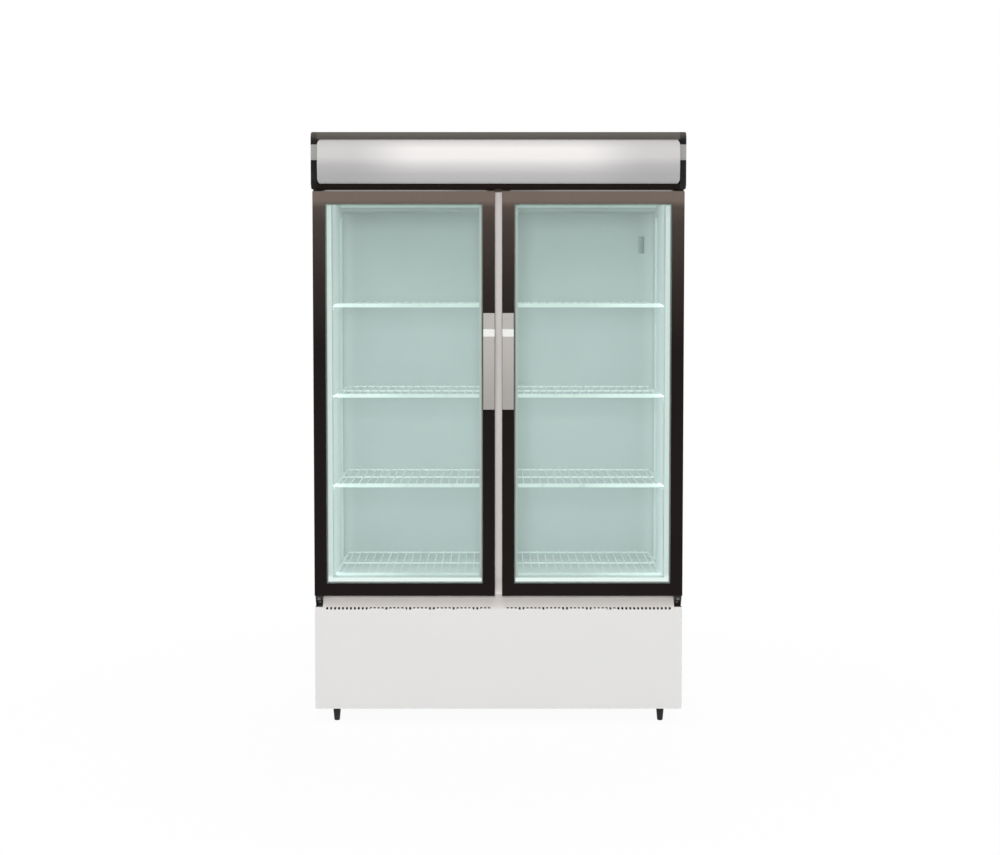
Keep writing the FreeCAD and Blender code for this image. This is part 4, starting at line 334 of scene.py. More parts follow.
class Recipe:
    """The nodes of one finish, or of the stage's sky."""

    def __init__(self, owner):
        owner.use_nodes = True
        self.owner = owner
        self.tree = owner.node_tree
        self.tree.nodes.clear()
        self.place = None
        self.axes = {}

    def node(self, kind, settings=None, inputs=None, output=0):
        """Adds a node, sets it, then sets or links its sockets."""
        made = self.tree.nodes.new(kind)
        for name, value in (settings or {}).items():
            if name == "stops":
                self.set_stops(made.color_ramp, value)
            else:
                setattr(made, name, value)
        for key, value in (inputs or {}).items():
            socket = made.inputs[key]
            if isinstance(value, Value):
                self.tree.links.new(value.link, socket)
            elif socket.type == "RGBA":
                socket.default_value = (*value[:3], 1.0)
            else:
                socket.default_value = value
        return Value(self, made.outputs[output]) if made.outputs else None

    def set_stops(self, ramp, stops):
        """Gives a ramp its places and colours."""
        for element, (position, colour) in zip(ramp.elements, (stops[0], stops[-1])):
            element.position = position
            element.color = (*colour, 1.0)
        for position, colour in stops[1:-1]:
            ramp.elements.new(position).color = (*colour, 1.0)

    def maths(self, operation, first, second):
        return self.node("ShaderNodeMath", {"operation": operation}, {0: first, 1: second})

    def point(self):
        """The surface point in the object's own metres."""
        if self.place is None:
            self.place = self.node("ShaderNodeTexCoord", output="Object")
        return self.place

    def axis(self, name):
        """One coordinate of the surface point."""
        if name not in self.axes:
            self.axes[name] = self.node("ShaderNodeSeparateXYZ", None, {0: self.point()}, name)
        return self.axes[name]

    def facing_up(self):
        """How far the surface faces up, from -1 to 1."""
        normal = self.node("ShaderNodeNewGeometry", output="Normal")
        return self.node("ShaderNodeSeparateXYZ", None, {0: normal}, "Z")

    def noise(self, cells, detail=2.0, stretch=None):
        """Soft noise with so many cells in a metre, times the stretch along each axis."""
        vector = self.point()
        if stretch:
            vector = self.node("ShaderNodeMapping", None, {"Vector": vector, "Scale": stretch})
        return self.node(
            "ShaderNodeTexNoise", None, {"Vector": vector, "Scale": cells, "Detail": detail})

    def lines(self, run, along, across):
        """Fine lines that run along one axis, with so many cells in a metre along and across."""
        return self.noise(1.0, 3.0, tuple(along if axis == run else across for axis in "XYZ"))

    def clouds(self):
        """Faint clouds of sprayed paint."""
        return self.noise(CLOUD_CELLS, 3.0)

    def patches(self, cells, low, high, detail=5.0, stretch=None):
        """Patches of wear, dust or damp, where the noise goes over a level."""
        return self.span(self.noise(cells, detail, stretch), low, high)

    def crystals(self, cells, output="Color"):
        """Crystal cells with so many in a metre."""
        return self.node(
            "ShaderNodeTexVoronoi", None, {"Vector": self.point(), "Scale": cells}, output)

    def span(self, value, low, high, kind="SMOOTHSTEP"):
        """0 to 1 while a value goes from low to high, softly unless told otherwise."""
        return self.node(
            "ShaderNodeMapRange", {"interpolation_type": kind},
            {"Value": value, "From Min": low, "From Max": high})

    def share(self, value, low, high):
        """Even 0 to 1 while a value goes from low to high."""
        return self.span(value, low, high, "LINEAR")

    def blend(self, share, first, second):
        """Colour that goes from the first to the second."""
        return self.node(
            "ShaderNodeMix", {"data_type": "RGBA"}, {0: share, 6: first, 7: second}, 2)

    def grade(self, value, first, second, row):
        """Colour that goes between two colours by a row of places and shares."""
        stops = [(place, between(first, second, share)) for place, share in row]
        return self.node("ShaderNodeValToRGB", {"stops": stops}, {"Fac": value})

    def bump(self, height, distance, strength):
        """Normal of a raised pattern that is as deep as a distance."""
        return self.node(
            "ShaderNodeBump", None,
            {"Height": height, "Distance": distance, "Strength": strength})

    def peel(self):
        """Normal of fine orange peel."""
        return self.bump(self.noise(PEEL_CELLS), 0.0003, 0.2)

    def sheet(self):
        """Normal of orange peel on slightly wavy sheet."""
        return self.bump(self.noise(PEEL_CELLS) * 0.12 + self.noise(WAVE_CELLS, 1.0), 0.0012, 0.3)

    def principled(self, inputs):
        return self.node("ShaderNodeBsdfPrincipled", None, inputs)

    def show(self, shader, kind="ShaderNodeOutputMaterial"):
        """Ends the recipe and gives back what it was written for."""
        self.node(kind, None, {"Surface": shader})
        return self.owner

    def surface(self, colour, roughness, normal, metallic=0.0, shine=0.5, glow=WHITE, strength=0.0):
        """Ends the recipe with a shaded surface."""
        return self.show(self.principled({
            "Base Color": colour, "Roughness": roughness, "Normal": normal, "Metallic": metallic,
            "Specular IOR Level": shine, "Emission Color": glow, "Emission Strength": strength}))


def new_finish(name):
    return Recipe(bpy.data.materials.new(name))


def darker(colour, share):
    return tuple(share * value for value in colour)


def between(first, second, share):
    return tuple(a + (b - a) * share for a, b in zip(first, second))


def powder_coat(name, base, gloss):
    """Baked powder paint: orange peel, slight sheet waves, faint clouds and rub marks."""
    finish = new_finish(name)
    cloud = finish.clouds()
    rub = finish.patches(34.0, 0.6, 0.8)
    return finish.surface(
        colour=finish.blend(cloud, darker(base, 0.955), base),
        roughness=1 - gloss + 0.1 * cloud - 0.08 * rub,
        normal=finish.sheet(), shine=0.4)


def panel_white(colours):
    """The shell's powder paint on the front panel, with painted light that makes its ledge paler
    where the doors shade it.
    """
    finish = new_finish("panel_paint")
    base = colours.cabinet_white
    cloud = finish.clouds()
    # Painted light: the ledge, which faces up under the doors, is paler to lift the doors' shade.
    shade = finish.blend(finish.span(finish.facing_up(), *LEDGE_PAINTED_LIGHT_SLOPE), base, colours.ledge_painted_light)
    return finish.surface(
        colour=finish.blend(0.5 * cloud, shade, darker(base, 0.94)),
        roughness=0.42 + 0.1 * cloud,
        normal=finish.sheet(), shine=0.4)


def post_paint(colours, glow):
    """Paint of the post between the doors, with painted shade where it stands behind the panes and
    a painted glow in the gap between them.
    """
    finish = new_finish("post_paint")
    base = colours.frame_grey
    cloud = finish.clouds()
    # Painted shade darkens the post behind the panes; only the gap between the doors keeps a
    # painted glow.
    painted_shade_behind = finish.span(abs(finish.axis("X")), *POST_PAINTED_SHADE)
    shade = finish.blend(painted_shade_behind, base, darker(base, 0.72))
    return finish.surface(
        colour=finish.blend(0.5 * cloud, shade, darker(base, 0.8)),
        roughness=0.4 + 0.1 * cloud,
        normal=finish.peel(),
        glow=finish.blend(painted_shade_behind, base, BLACK), strength=glow, shine=0.4)


def frame_white(colours, glow):
    """White frame round the doorways, with a painted glow at the sill and jambs, which are no lamp,
    and painted shade in the gap over the doors.
    """
    finish = new_finish("frame_paint")
    base = colours.frame_white
    cloud = finish.clouds()
    across = abs(finish.axis("X"))
    height = finish.axis("Z")
    within = (1 - finish.span(across, *OPENING_SIDE)) * (1 - finish.span(height, *OPENING_TOP))
    sill = 1 - finish.span(height, *SILL_PAINTED_GLOW_TOP)
    beside = finish.span(across, *POST_EDGE)
    jamb = 0.2 + 0.12 * finish.span(across, *JAMB_PAINTED_GLOW_RISE)
    # Painted glow on the sill and the jambs inside the doorway; the base colour is darkened where
    # the glow takes over.
    lit = (jamb + (1 - jamb) * sill) * finish.span(height, *SILL_PAINTED_GLOW_FOOT) * beside * within
    shade = finish.blend(cloud, darker(base, 0.97), base)
    shade = finish.blend(beside, colours.frame_grey, shade)
    # Painted shade: the strip over the doors takes a dark tone like the shadow gap under the
    # canopy.
    head = finish.span(height, *DOOR_HEAD_PAINTED_SHADE)
    shade = finish.blend(head, shade, darker(colours.bronze_reflection_top, 0.7))
    return finish.surface(
        colour=finish.blend(lit, shade, darker(base, 0.12)),
        roughness=0.42 + 0.1 * cloud,
        normal=finish.peel(),
        glow=finish.blend(lit, BLACK, base), strength=glow, shine=0.3)


def moulded_plastic(name, base, gloss, grain=GRAIN_CELLS):
    """Moulded plastic with a fine spark-eroded grain and dusty patches."""
    finish = new_finish(name)
    texture = finish.noise(grain)
    dust = finish.patches(14.0, 0.45, 0.75, 4.0)
    return finish.surface(
        colour=finish.blend(dust, base, between(base, DUST, 0.05)),
        roughness=1 - gloss + 0.12 * dust + 0.06 * texture,
        normal=finish.bump(texture, 0.0003, 0.25), shine=0.3)


def drawn_metal(name, base, run, roughness, metallic):
    """Drawn or brushed metal whose lines run along one axis, with a few dull spots."""
    finish = new_finish(name)
    lines = finish.lines(run, 14.0, 1600.0)
    dull = finish.patches(9.0, 0.5, 0.72, 4.0)
    shade = finish.blend(lines, darker(base, 0.86), base)
    return finish.surface(
        colour=finish.blend(dull * 0.4, shade, darker(base, 0.9)),
        roughness=roughness + 0.14 * lines + 0.08 * dull,
        metallic=metallic, normal=finish.bump(lines, 0.0002, 0.25))


def galvanised_sheet(name, base):
    """Zinc-coated sheet with spangle crystals and white bloom."""
    finish = new_finish(name)
    spangle = finish.crystals(85.0) * 0.65 + finish.crystals(260.0) * 0.35
    bloom = finish.patches(11.0, 0.5, 0.85, 6.0)
    shade = finish.blend(spangle, darker(base, 0.72), base)
    return finish.surface(
        colour=finish.blend(bloom * 0.25, shade, between(base, (0.8, 0.8, 0.8), 0.5)),
        roughness=0.34 + 0.2 * spangle + 0.16 * bloom,
        metallic=0.75 - 0.35 * bloom, normal=finish.bump(spangle, 0.0003, 0.12))


def door_bronze(colours):
    """Bronze anodised frame, near black from the handles down, with a painted reflection that makes
    it pale towards the top rail.
    """
    finish = new_finish("door_bronze")
    low = colours.bronze_low
    lines = finish.lines("Z", 10.0, 900.0)
    rub = finish.patches(21.0, 0.58, 0.8)
    # Painted reflection: the frame grades from its dark bronze to a pale reflected tone towards the
    # top rail.
    rise = finish.share(finish.axis("Z"), *DOOR_PAINTED_REFLECTION_FADE)
    shade = finish.grade(rise, low, colours.bronze_reflection_top, BRONZE_REFLECTION_GRADE)
    return finish.surface(
        colour=finish.blend(0.25 * lines, shade, darker(low, 0.8)),
        roughness=0.42 + 0.12 * lines - 0.08 * rub,
        metallic=0.1, normal=finish.bump(lines, 0.0002, 0.2), shine=0.06)


def canopy_paint_painted_reflection(colours):
    """Dark canopy paint, with a painted reflection that makes the upper lip lighter."""
    finish = new_finish("canopy_dark")
    low = colours.canopy_low
    cloud = finish.noise(6.0, 4.0)
    # Painted reflection: the paint grades from dark to a lighter reflected tone towards the upper
    # lip.
    rise = finish.share(finish.axis("Z"), *CANOPY_REFLECTION_RISE)
    shade = finish.grade(rise, low, colours.canopy_reflection_top, CANOPY_REFLECTION_GRADE)
    return finish.surface(
        colour=finish.blend(0.2 * cloud, shade, darker(low, 0.9)),
        roughness=0.36 + 0.12 * cloud,
        normal=finish.bump(finish.noise(560.0), 0.0004, 0.12), shine=0.05)


def cap_black(colours):
    """Moulded end caps with a painted highlight along their upper edge in the canopy lip's
    reflected tone, broken up by dust.
    """
    finish = new_finish("cap_black")
    texture = finish.noise(GRAIN_CELLS)
    dust = finish.patches(14.0, 0.45, 0.75, 4.0)
    # Painted highlight along the upper edge, in the canopy lip's reflected tone and patchy with
    # dust.
    upper = finish.span(finish.axis("Z"), *CAP_PAINTED_HIGHLIGHT_TOP) * (0.6 + 0.4 * dust)
    shade = finish.blend(upper, colours.cap_black, darker(colours.canopy_reflection_top, 0.9))
    return finish.surface(
        colour=finish.blend(0.05 * dust, shade, DUST),
        roughness=0.42 + 0.12 * dust + 0.06 * texture,
        normal=finish.bump(texture, 0.0003, 0.25), shine=0.06)


def sign_silver(colours):
    """Brushed silver sheet of the sign, with a painted reflection: bright above its middle,
    brightest near the centre, and duller below.
    """
    finish = new_finish("sign_silver")
    bright = colours.sign_reflection_bright
    dull = colours.sign_reflection_dull
    lines = finish.lines("X", 9.0, 1400.0)
    # Painted reflection: bright above the middle and towards the centre, duller below.
    rise = finish.share(finish.axis("Z"), *SIGN_REFLECTION_RISE)
    middle = 1 - finish.span(abs(finish.axis("X")), *SIGN_HIGHLIGHT_SIDE)
    plain = finish.grade(rise, dull, bright, SIGN_REFLECTION_PLAIN)
    shade = finish.blend(middle, plain, finish.grade(rise, dull, bright, SIGN_REFLECTION_LIT))
    return finish.surface(
        colour=finish.blend(0.12 * lines, shade, darker(dull, 0.75)),
        roughness=0.42 + 0.14 * lines,
        metallic=0.12, normal=finish.bump(lines, 0.0002, 0.15), shine=0.2)


def handle_silver(colours):
    """Satin anodised handle, with a painted highlight on the slope under the mount and painted
    shade that darkens the grip downwards.
    """
    finish = new_finish("handle_silver")
    base = colours.handle_silver
    lines = finish.lines("Z", 18.0, 1500.0)
    worn = finish.patches(26.0, 0.55, 0.78)
    drop = HANDLE_BOX[1].z - finish.axis("Z")
    # Painted highlight on the slope under the mount, and painted shade that darkens the grip
    # towards its foot.
    slope = finish.span(drop, *HIGHLIGHT_SLOPE_TOP) * (1 - finish.span(drop, *HIGHLIGHT_SLOPE_FOOT))
    shade = finish.blend(finish.span(drop, *GRIP_PAINTED_SHADE_RUN) * 0.8, base, darker(base, 0.74))
    shade = finish.blend(slope, shade, (1, 1, 0.98))
    return finish.surface(
        colour=finish.blend(0.1 * lines, shade, darker(base, 0.6)),
        roughness=0.36 + 0.12 * lines + 0.06 * worn,
        metallic=0.5 - 0.5 * slope, normal=finish.bump(lines, 0.0002, 0.2))


def door_glass(colours):
    """Clear float glass with a pale green tint and a faint film of wiping marks."""
    finish = new_finish("glass")
    facing = finish.node("ShaderNodeLayerWeight", None, {"Blend": 0.5}, "Facing")
    film = finish.patches(7.0, 0.5, 0.8, stretch=(1.0, 1.0, 0.35))
    clear = finish.node("ShaderNodeBsdfTransparent", None, {"Color": colours.glass_tint})
    gloss = finish.principled({
        "Base Color": (0.9, 0.97, 0.95), "Metallic": 1.0, "Roughness": 0.015 + 0.05 * film})
    share = 0.03 + 0.7 * facing ** 5 + 0.01 * film
    return finish.show(finish.node("ShaderNodeMixShader", None, {0: share, 1: clear, 2: gloss}))


def light_bar(colours, strength):
    """Frosted light bar with a row of soft spots, brighter at its foot and dimmer at its head."""
    finish = new_finish("diffuser")
    white = colours.lamp_white
    spots = finish.node(
        "ShaderNodeTexWave", {"bands_direction": "Z"},
        {"Vector": finish.point(), "Scale": 8.0, "Distortion": 0.0})
    frost = finish.noise(800.0)
    height = finish.axis("Z")
    glow = finish.blend(spots, darker(white, 0.74), darker(white, 0.9))
    glow = finish.blend(1 - finish.span(height, *BAR_FOOT), glow, white)
    glow = finish.blend(0.8 * finish.span(height, *BAR_HEAD), glow, BLACK)
    return finish.surface(
        colour=finish.blend(0.2 * frost, white, darker(white, 0.9)),
        roughness=0.4 + 0.15 * frost,
        normal=finish.bump(frost, 0.0002, 0.2),
        glow=glow, strength=strength)


def liner_white(colours, glow):
    """Vacuum-formed liner: satin and a little cloudy, with painted shade that greys it towards the
    back wall and under the evaporator cover, and a painted glow on its side walls, rear corners and
    floor.
    """
    finish = new_finish("liner")
    base = colours.liner_white
    back = colours.liner_back_painted_shade
    cloud = finish.noise(4.0, 3.0)
    damp = finish.patches(11.0, 0.5, 0.78)
    across = abs(finish.axis("X"))
    depth = finish.axis("Y")
    height = finish.axis("Z")
    # Painted shade: greyer towards the back wall and darker still under the evaporator cover.
    rear = finish.blend(finish.span(height, *LINER_PAINTED_SHADE_HEAD), back, darker(back, 0.8))
    shade = finish.blend(finish.share(depth, *LINER_PAINTED_SHADE_FADE), base, rear)
    # Painted glow on the side walls, fading towards the back, and on the rear corners and the
    # floor.
    wall = finish.span(across, *LINER_PAINTED_GLOW_WALL)
    corner = finish.span(across, *LINER_PAINTED_GLOW_CORNER) * finish.span(depth, *LINER_PAINTED_GLOW_REAR)
    bottom = 1 - finish.span(height, *LINER_PAINTED_GLOW_FLOOR)
    lit = wall * (1 - 0.45 * finish.share(depth, *LINER_PAINTED_GLOW_DEPTH))
    lit = lit + (1 - wall) * (0.3 * corner + 0.35 * bottom)
    return finish.surface(
        colour=finish.blend(0.3 * cloud, shade, darker(base, 0.8)),
        roughness=0.4 + 0.12 * cloud - 0.12 * damp,
        normal=finish.bump(finish.noise(700.0), 0.0003, 0.12),
        glow=finish.blend(lit, BLACK, base), strength=glow, shine=0.3)


def cover_grey(colours):
    """Painted evaporator cover, with painted shade on its underside and along its lower rim."""
    finish = new_finish("cover_grey")
    base = colours.cover_grey
    dull = darker(base, 0.6)
    cloud = finish.clouds()
    # Painted shade: the dull tone darkens the underside and the lower rim, where shade falls.
    under = 1 - finish.span(finish.facing_up(), *UNDERSIDE_PAINTED_SHADE)
    rim = 1 - finish.span(finish.axis("Z"), *COVER_RIM_PAINTED_SHADE)
    shade = finish.blend(cloud, darker(base, 0.955), base)
    return finish.surface(
        colour=finish.blend(under, finish.blend(rim, shade, dull), dull),
        roughness=0.45 + 0.1 * cloud,
        normal=finish.peel(), shine=0.3)


def probe_grey(colours):
    """Moulded sensor cover, duller towards its outer edge."""
    finish = new_finish("probe_grey")
    base = colours.probe_grey
    texture = finish.noise(GRAIN_CELLS)
    across = finish.share(finish.axis("X"), *PROBE_RUN)
    return finish.surface(
        colour=finish.blend(across, base, darker(base, 0.55)),
        roughness=0.5 + 0.1 * texture,
        normal=finish.bump(texture, 0.0003, 0.25), shine=0.3)


def shelf_wire(colours, glow):
    """Plastic-coated wire, rubbed grey where goods slide on it, with a painted glow on the wires
    and the front rail's outer ends and painted shade that greys the wires behind the rail.
    """
    finish = new_finish("shelf_steel")
    base = colours.shelf_white
    skin = finish.noise(420.0, 3.0)
    rub = finish.patches(30.0, 0.56, 0.78)
    # Painted shade greys the wires behind the rail; a painted glow lights the wires and the rail's
    # outer ends.
    painted_shade_behind = finish.span(finish.axis("Y"), *RAIL_BACK)
    outer = finish.span(abs(finish.axis("X")), *RAIL_OUTER_PAINTED_HIGHLIGHT)
    rail = finish.blend(outer, darker(base, 0.08), base)
    shade = finish.blend(painted_shade_behind, base, colours.shelf_painted_shade_grey)
    return finish.surface(
        colour=finish.blend(rub * 0.5, shade, darker(base, 0.6)),
        roughness=0.32 + 0.16 * rub + 0.06 * skin,
        normal=finish.bump(skin, 0.0003, 0.2),
        glow=finish.blend(painted_shade_behind, rail, darker(base, 0.88)), strength=glow)


def hinge_black(colours):
    """Black hinge brackets with bare steel pins and nuts, and rubbed paint."""
    finish = new_finish("hinge_black")
    pin = PINS["right_door_hinge"]
    aside = abs(finish.axis("X")) - pin.x
    ahead = finish.axis("Y") - pin.y
    reach = (aside * aside + ahead * ahead) ** 0.5
    low = 1 - finish.span(finish.axis("Z"), *PIN_TOP)
    steel = low * (1 - finish.span(reach, *PIN_REACH))
    chips = finish.patches(120.0, 0.62, 0.7, 4.0)
    grain = finish.noise(800.0)
    shade = finish.blend(chips * 0.35, colours.hinge_black, DARK_STEEL)
    return finish.surface(
        colour=finish.blend(steel, shade, darker(DARK_STEEL, 0.8)),
        roughness=0.42 + 0.1 * grain - 0.08 * steel,
        metallic=0.5 * steel + 0.3 * chips * (1 - steel), normal=finish.bump(grain, 0.0003, 0.2))


def copper_pipe(colours):
    """Drawn copper with brown oxide patches."""
    finish = new_finish("copper")
    patch = finish.patches(24.0, 0.42, 0.7)
    lines = finish.noise(500.0)
    return finish.surface(
        colour=finish.blend(patch, colours.copper, darker(screen(120, 74, 54), 0.9)),
        roughness=0.26 + 0.26 * patch + 0.06 * lines,
        metallic=1 - 0.25 * patch, normal=finish.bump(lines, 0.0002, 0.15))


def machine_enamel(colours):
    """Thick black enamel with runs and settled dust on what faces up."""
    finish = new_finish("machine_black")
    dust = finish.span(finish.facing_up(), *DUST_SLOPE) * finish.patches(40.0, 0.3, 0.7, 4.0)
    skin = finish.noise(240.0, 3.0)
    return finish.surface(
        colour=finish.blend(dust * 0.3, colours.machine_black, (0.3, 0.29, 0.27)),
        roughness=0.28 + 0.3 * dust + 0.1 * skin,
        normal=finish.bump(skin, 0.0005, 0.18))


def foam_cream(colours):
    """Blown foam with open cells."""
    finish = new_finish("foam")
    base = colours.foam_cream
    cloud = finish.noise(8.0, 4.0)
    return finish.surface(
        colour=finish.blend(cloud, darker(base, 0.86), base),
        roughness=0.8 + 0.12 * cloud,
        normal=finish.bump(finish.crystals(420.0, "Distance"), 0.001, 0.5))


def light_board(colours):
    """White circuit board with small light spots."""
    finish = new_finish("board")
    spots = 1 - finish.span(finish.crystals(30.0, "Distance"), 0.08, 0.12)
    return finish.surface(
        colour=finish.blend(spots, colours.board_white, screen(240, 214, 120)),
        roughness=0.4 + 0.2 * finish.noise(300.0),
        normal=finish.bump(spots, 0.0004, 0.4))


def dress(material, *names):
    """Puts a finish on CAD nodes or on new pieces."""
    for name in names:
        thing = bpy.data.objects[name]
        if not thing.material_slots:
            thing.data.materials.append(material)
        for slot in thing.material_slots:
            slot.material = material


# Modelling

def clear_selection():
    """Goes to object mode with nothing selected."""
    if bpy.context.object and bpy.context.object.mode != "OBJECT":
        bpy.ops.object.mode_set(mode="OBJECT")
    bpy.ops.object.select_all(action="DESELECT")


def take(thing):
    """Makes one object the only one selected."""
    clear_selection()
    thing.select_set(True)
    bpy.context.view_layer.objects.active = thing


def pick_faces(thing, test):
    """Selects in edit mode the faces whose centre and normal pass a test."""
    take(thing)
    bpy.ops.object.mode_set(mode="EDIT")
    bpy.ops.mesh.select_mode(type="FACE")
    bpy.ops.mesh.select_all(action="DESELECT")
    bpy.ops.object.mode_set(mode="OBJECT")
    for face in thing.data.polygons:
        face.select = test(face.center, face.normal)
    if not any(face.select for face in thing.data.polygons):
        raise RuntimeError(f"no face of {thing.name} was found to work on")
    bpy.ops.object.mode_set(mode="EDIT")


def clean_mesh(thing):
    """Merges doubles and turns all faces outwards."""
    take(thing)
    bpy.ops.object.mode_set(mode="EDIT")
    bpy.ops.mesh.select_all(action="SELECT")
    bpy.ops.mesh.remove_doubles(threshold=MERGE_DISTANCE)
    bpy.ops.mesh.normals_make_consistent(inside=False)
    bpy.ops.object.mode_set(mode="OBJECT")


def settled(name):
    """Names the new object and takes its place and size into its mesh."""
    thing = bpy.context.object
    thing.name = name
    bpy.ops.object.transform_apply(location=True, rotation=True, scale=True)
    return thing


def new_cube(name, centre, size):
    """A cube primitive at its size and place, to be shaped further."""
    clear_selection()
    bpy.ops.mesh.primitive_cube_add(size=1, location=centre, scale=size)
    return settled(name)


def new_disc(name, sides, radius, height):
    """A cylinder primitive that stands on the origin and points along Y."""
    clear_selection()
    bpy.ops.mesh.primitive_cylinder_add(
        vertices=sides, radius=radius, depth=height, location=(0, height / 2, 0),
        rotation=(math.pi / 2, 0, 0))
    return settled(name)


def smooth(thing):
    """Smooths a piece's faces, apart from its sharp edges."""
    take(thing)
    bpy.ops.object.shade_smooth_by_angle(angle=SMOOTH_ANGLE)


def round_edges(thing, width):
    """Rounds the sharp edges of a piece and smooths its faces."""
    take(thing)
    rounding = thing.modifiers.new("Rounding", "BEVEL")
    rounding.width = width
    rounding.segments = EDGE_STEPS
    rounding.limit_method = "ANGLE"
    rounding.angle_limit = SHARP_ANGLE
    bpy.ops.object.modifier_apply(modifier=rounding.name)
    smooth(thing)


def copy_to(thing, name, move):
    """A copy of a piece with its own mesh, moved to its place."""
    take(thing)
    bpy.ops.object.duplicate(linked=False)
    bpy.ops.transform.translate(value=move)
    settled(name)


def mirror_copy(thing, name):
    """A copy of a piece on the other side of the middle."""
    take(thing)
    bpy.ops.object.duplicate(linked=False)
    bpy.ops.transform.resize(value=(-1, 1, 1), center_override=(0, 0, 0))
    clean_mesh(settled(name))


def remove(thing):
    take(thing)
    bpy.ops.object.delete()


def attach(name, material):
    """Finishes a new piece and parents it to the cabinet's body so that it stays with the cabinet.
    """
    dress(material, name)
    thing = bpy.data.objects[name]
    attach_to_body(thing, "cabinet")


# Operators

class FRIDGE_OT_cabinet(bpy.types.Operator):
    """Finish the shell, front panel, frame, back and base"""

    bl_idname = "fridge.cabinet"
    bl_label = "Finish Cabinet"

    def execute(self, context):
        colours = context.scene.fridge_colours
        stage = context.scene.fridge_stage
        dress(powder_coat("white_paint", colours.cabinet_white, 0.58), "outer_shell")
        dress(panel_white(colours), "front_panel")
        dress(post_paint(colours, stage.post_glow), "centre_mullion")
        dress(frame_white(colours, stage.sill_glow), "front_frame")
        dress(galvanised_sheet("galvanised", colours.zinc_grey),
              "back_panel", "rear_grille", "base_tray", "condenser_fan_shroud")
        dress(foam_cream(colours), "insulation")
        dress(hinge_black(colours), "top_hinges", "bottom_hinges")
        dress(moulded_plastic("foot_black", colours.foot_black, 0.5, 500.0),
              "foot_front_left", "foot_front_right", "foot_rear_left", "foot_rear_right")
        return {"FINISHED"}


class FRIDGE_OT_doors(bpy.types.Operator):
    """Finish the door frames, panes, spacers, seals and handles"""

    bl_idname = "fridge.doors"
    bl_label = "Finish Doors"

    def execute(self, context):
        colours = context.scene.fridge_colours
        finishes = {
            "door_frame": door_bronze(colours),
            "door_glass": door_glass(colours),
            "door_handle": handle_silver(colours),
            "door_spacer": drawn_metal("spacer_silver", colours.spacer_silver, "Z", 0.34, 0.5),
            "door_gasket": moulded_plastic("gasket_grey", colours.gasket_grey, 0.4, 1200.0),
            "door_corner_blocks": moulded_plastic("corner_black", colours.plastic_black, 0.4),
        }
        for side in SIDES:
            for part, material in finishes.items():
                dress(material, f"{side}_{part}")
        return {"FINISHED"}


class FRIDGE_OT_canopy(bpy.types.Operator):
    """Finish the canopy, its sign panel, end caps and light board"""

    bl_idname = "fridge.canopy"
    bl_label = "Finish Canopy"

    def execute(self, context):
        colours = context.scene.fridge_colours
        dress(canopy_paint_painted_reflection(colours), "canopy_housing")
        dress(sign_silver(colours), "canopy_sign_panel")
        dress(cap_black(colours), "canopy_end_caps")
        dress(light_board(colours), "canopy_led_board")
        return {"FINISHED"}


class FRIDGE_OT_inside(bpy.types.Operator):
    """Finish the liner, shelves, light bars and evaporator"""

    bl_idname = "fridge.inside"
    bl_label = "Finish Inside"

    def execute(self, context):
        colours = context.scene.fridge_colours
        stage = context.scene.fridge_stage
        dress(liner_white(colours, stage.wall_glow), "inner_liner")
        dress(cover_grey(colours), "evaporator_cover")
        dress(shelf_wire(colours, stage.shelf_glow),
              *(f"shelf_{side}_{level}" for side in SIDES for level in SHELF_LEVELS))
        dress(powder_coat("upright_grey", colours.upright_grey, 0.5),
              "shelf_uprights", "shelf_clips")
        dress(drawn_metal("channel_white", colours.channel_white, "Z", 0.45, 0.0),
              "led_channels")
        dress(light_bar(colours, stage.inside_power), "led_diffusers")
        dress(probe_grey(colours), "temperature_probe_cover")
        return {"FINISHED"}


class FRIDGE_OT_machine(bpy.types.Operator):
    """Finish the coils, fans, compressor, pipes and the small parts round them"""

    bl_idname = "fridge.machine"
    bl_label = "Finish Machine"

    def execute(self, context):
        colours = context.scene.fridge_colours
        dress(drawn_metal("coil_metal", colours.coil_silver, "Z", 0.36, 0.85),
              "evaporator_coil", "condenser_coil")
        dress(machine_enamel(colours), "compressor", "condenser_fan_motor", "evaporator_fan_motors")
        dress(moulded_plastic("fan_plastic", colours.plastic_black, 0.45),
              "evaporator_fan_left", "evaporator_fan_right", "condenser_fan")
        dress(moulded_plastic("tray_plastic", colours.plastic_black, 0.4, 500.0),
              "evaporation_tray", "control_box")
        dress(moulded_plastic("rubber_black", colours.rubber_black, 0.25, 600.0),
              "compressor_mounts")
        dress(moulded_plastic("hose", colours.hose_white, 0.5), "drain_hose")
        dress(moulded_plastic("gland_black", colours.cap_black, 0.5), "cable_gland")
        dress(copper_pipe(colours), "refrigerant_pipes")
        return {"FINISHED"}


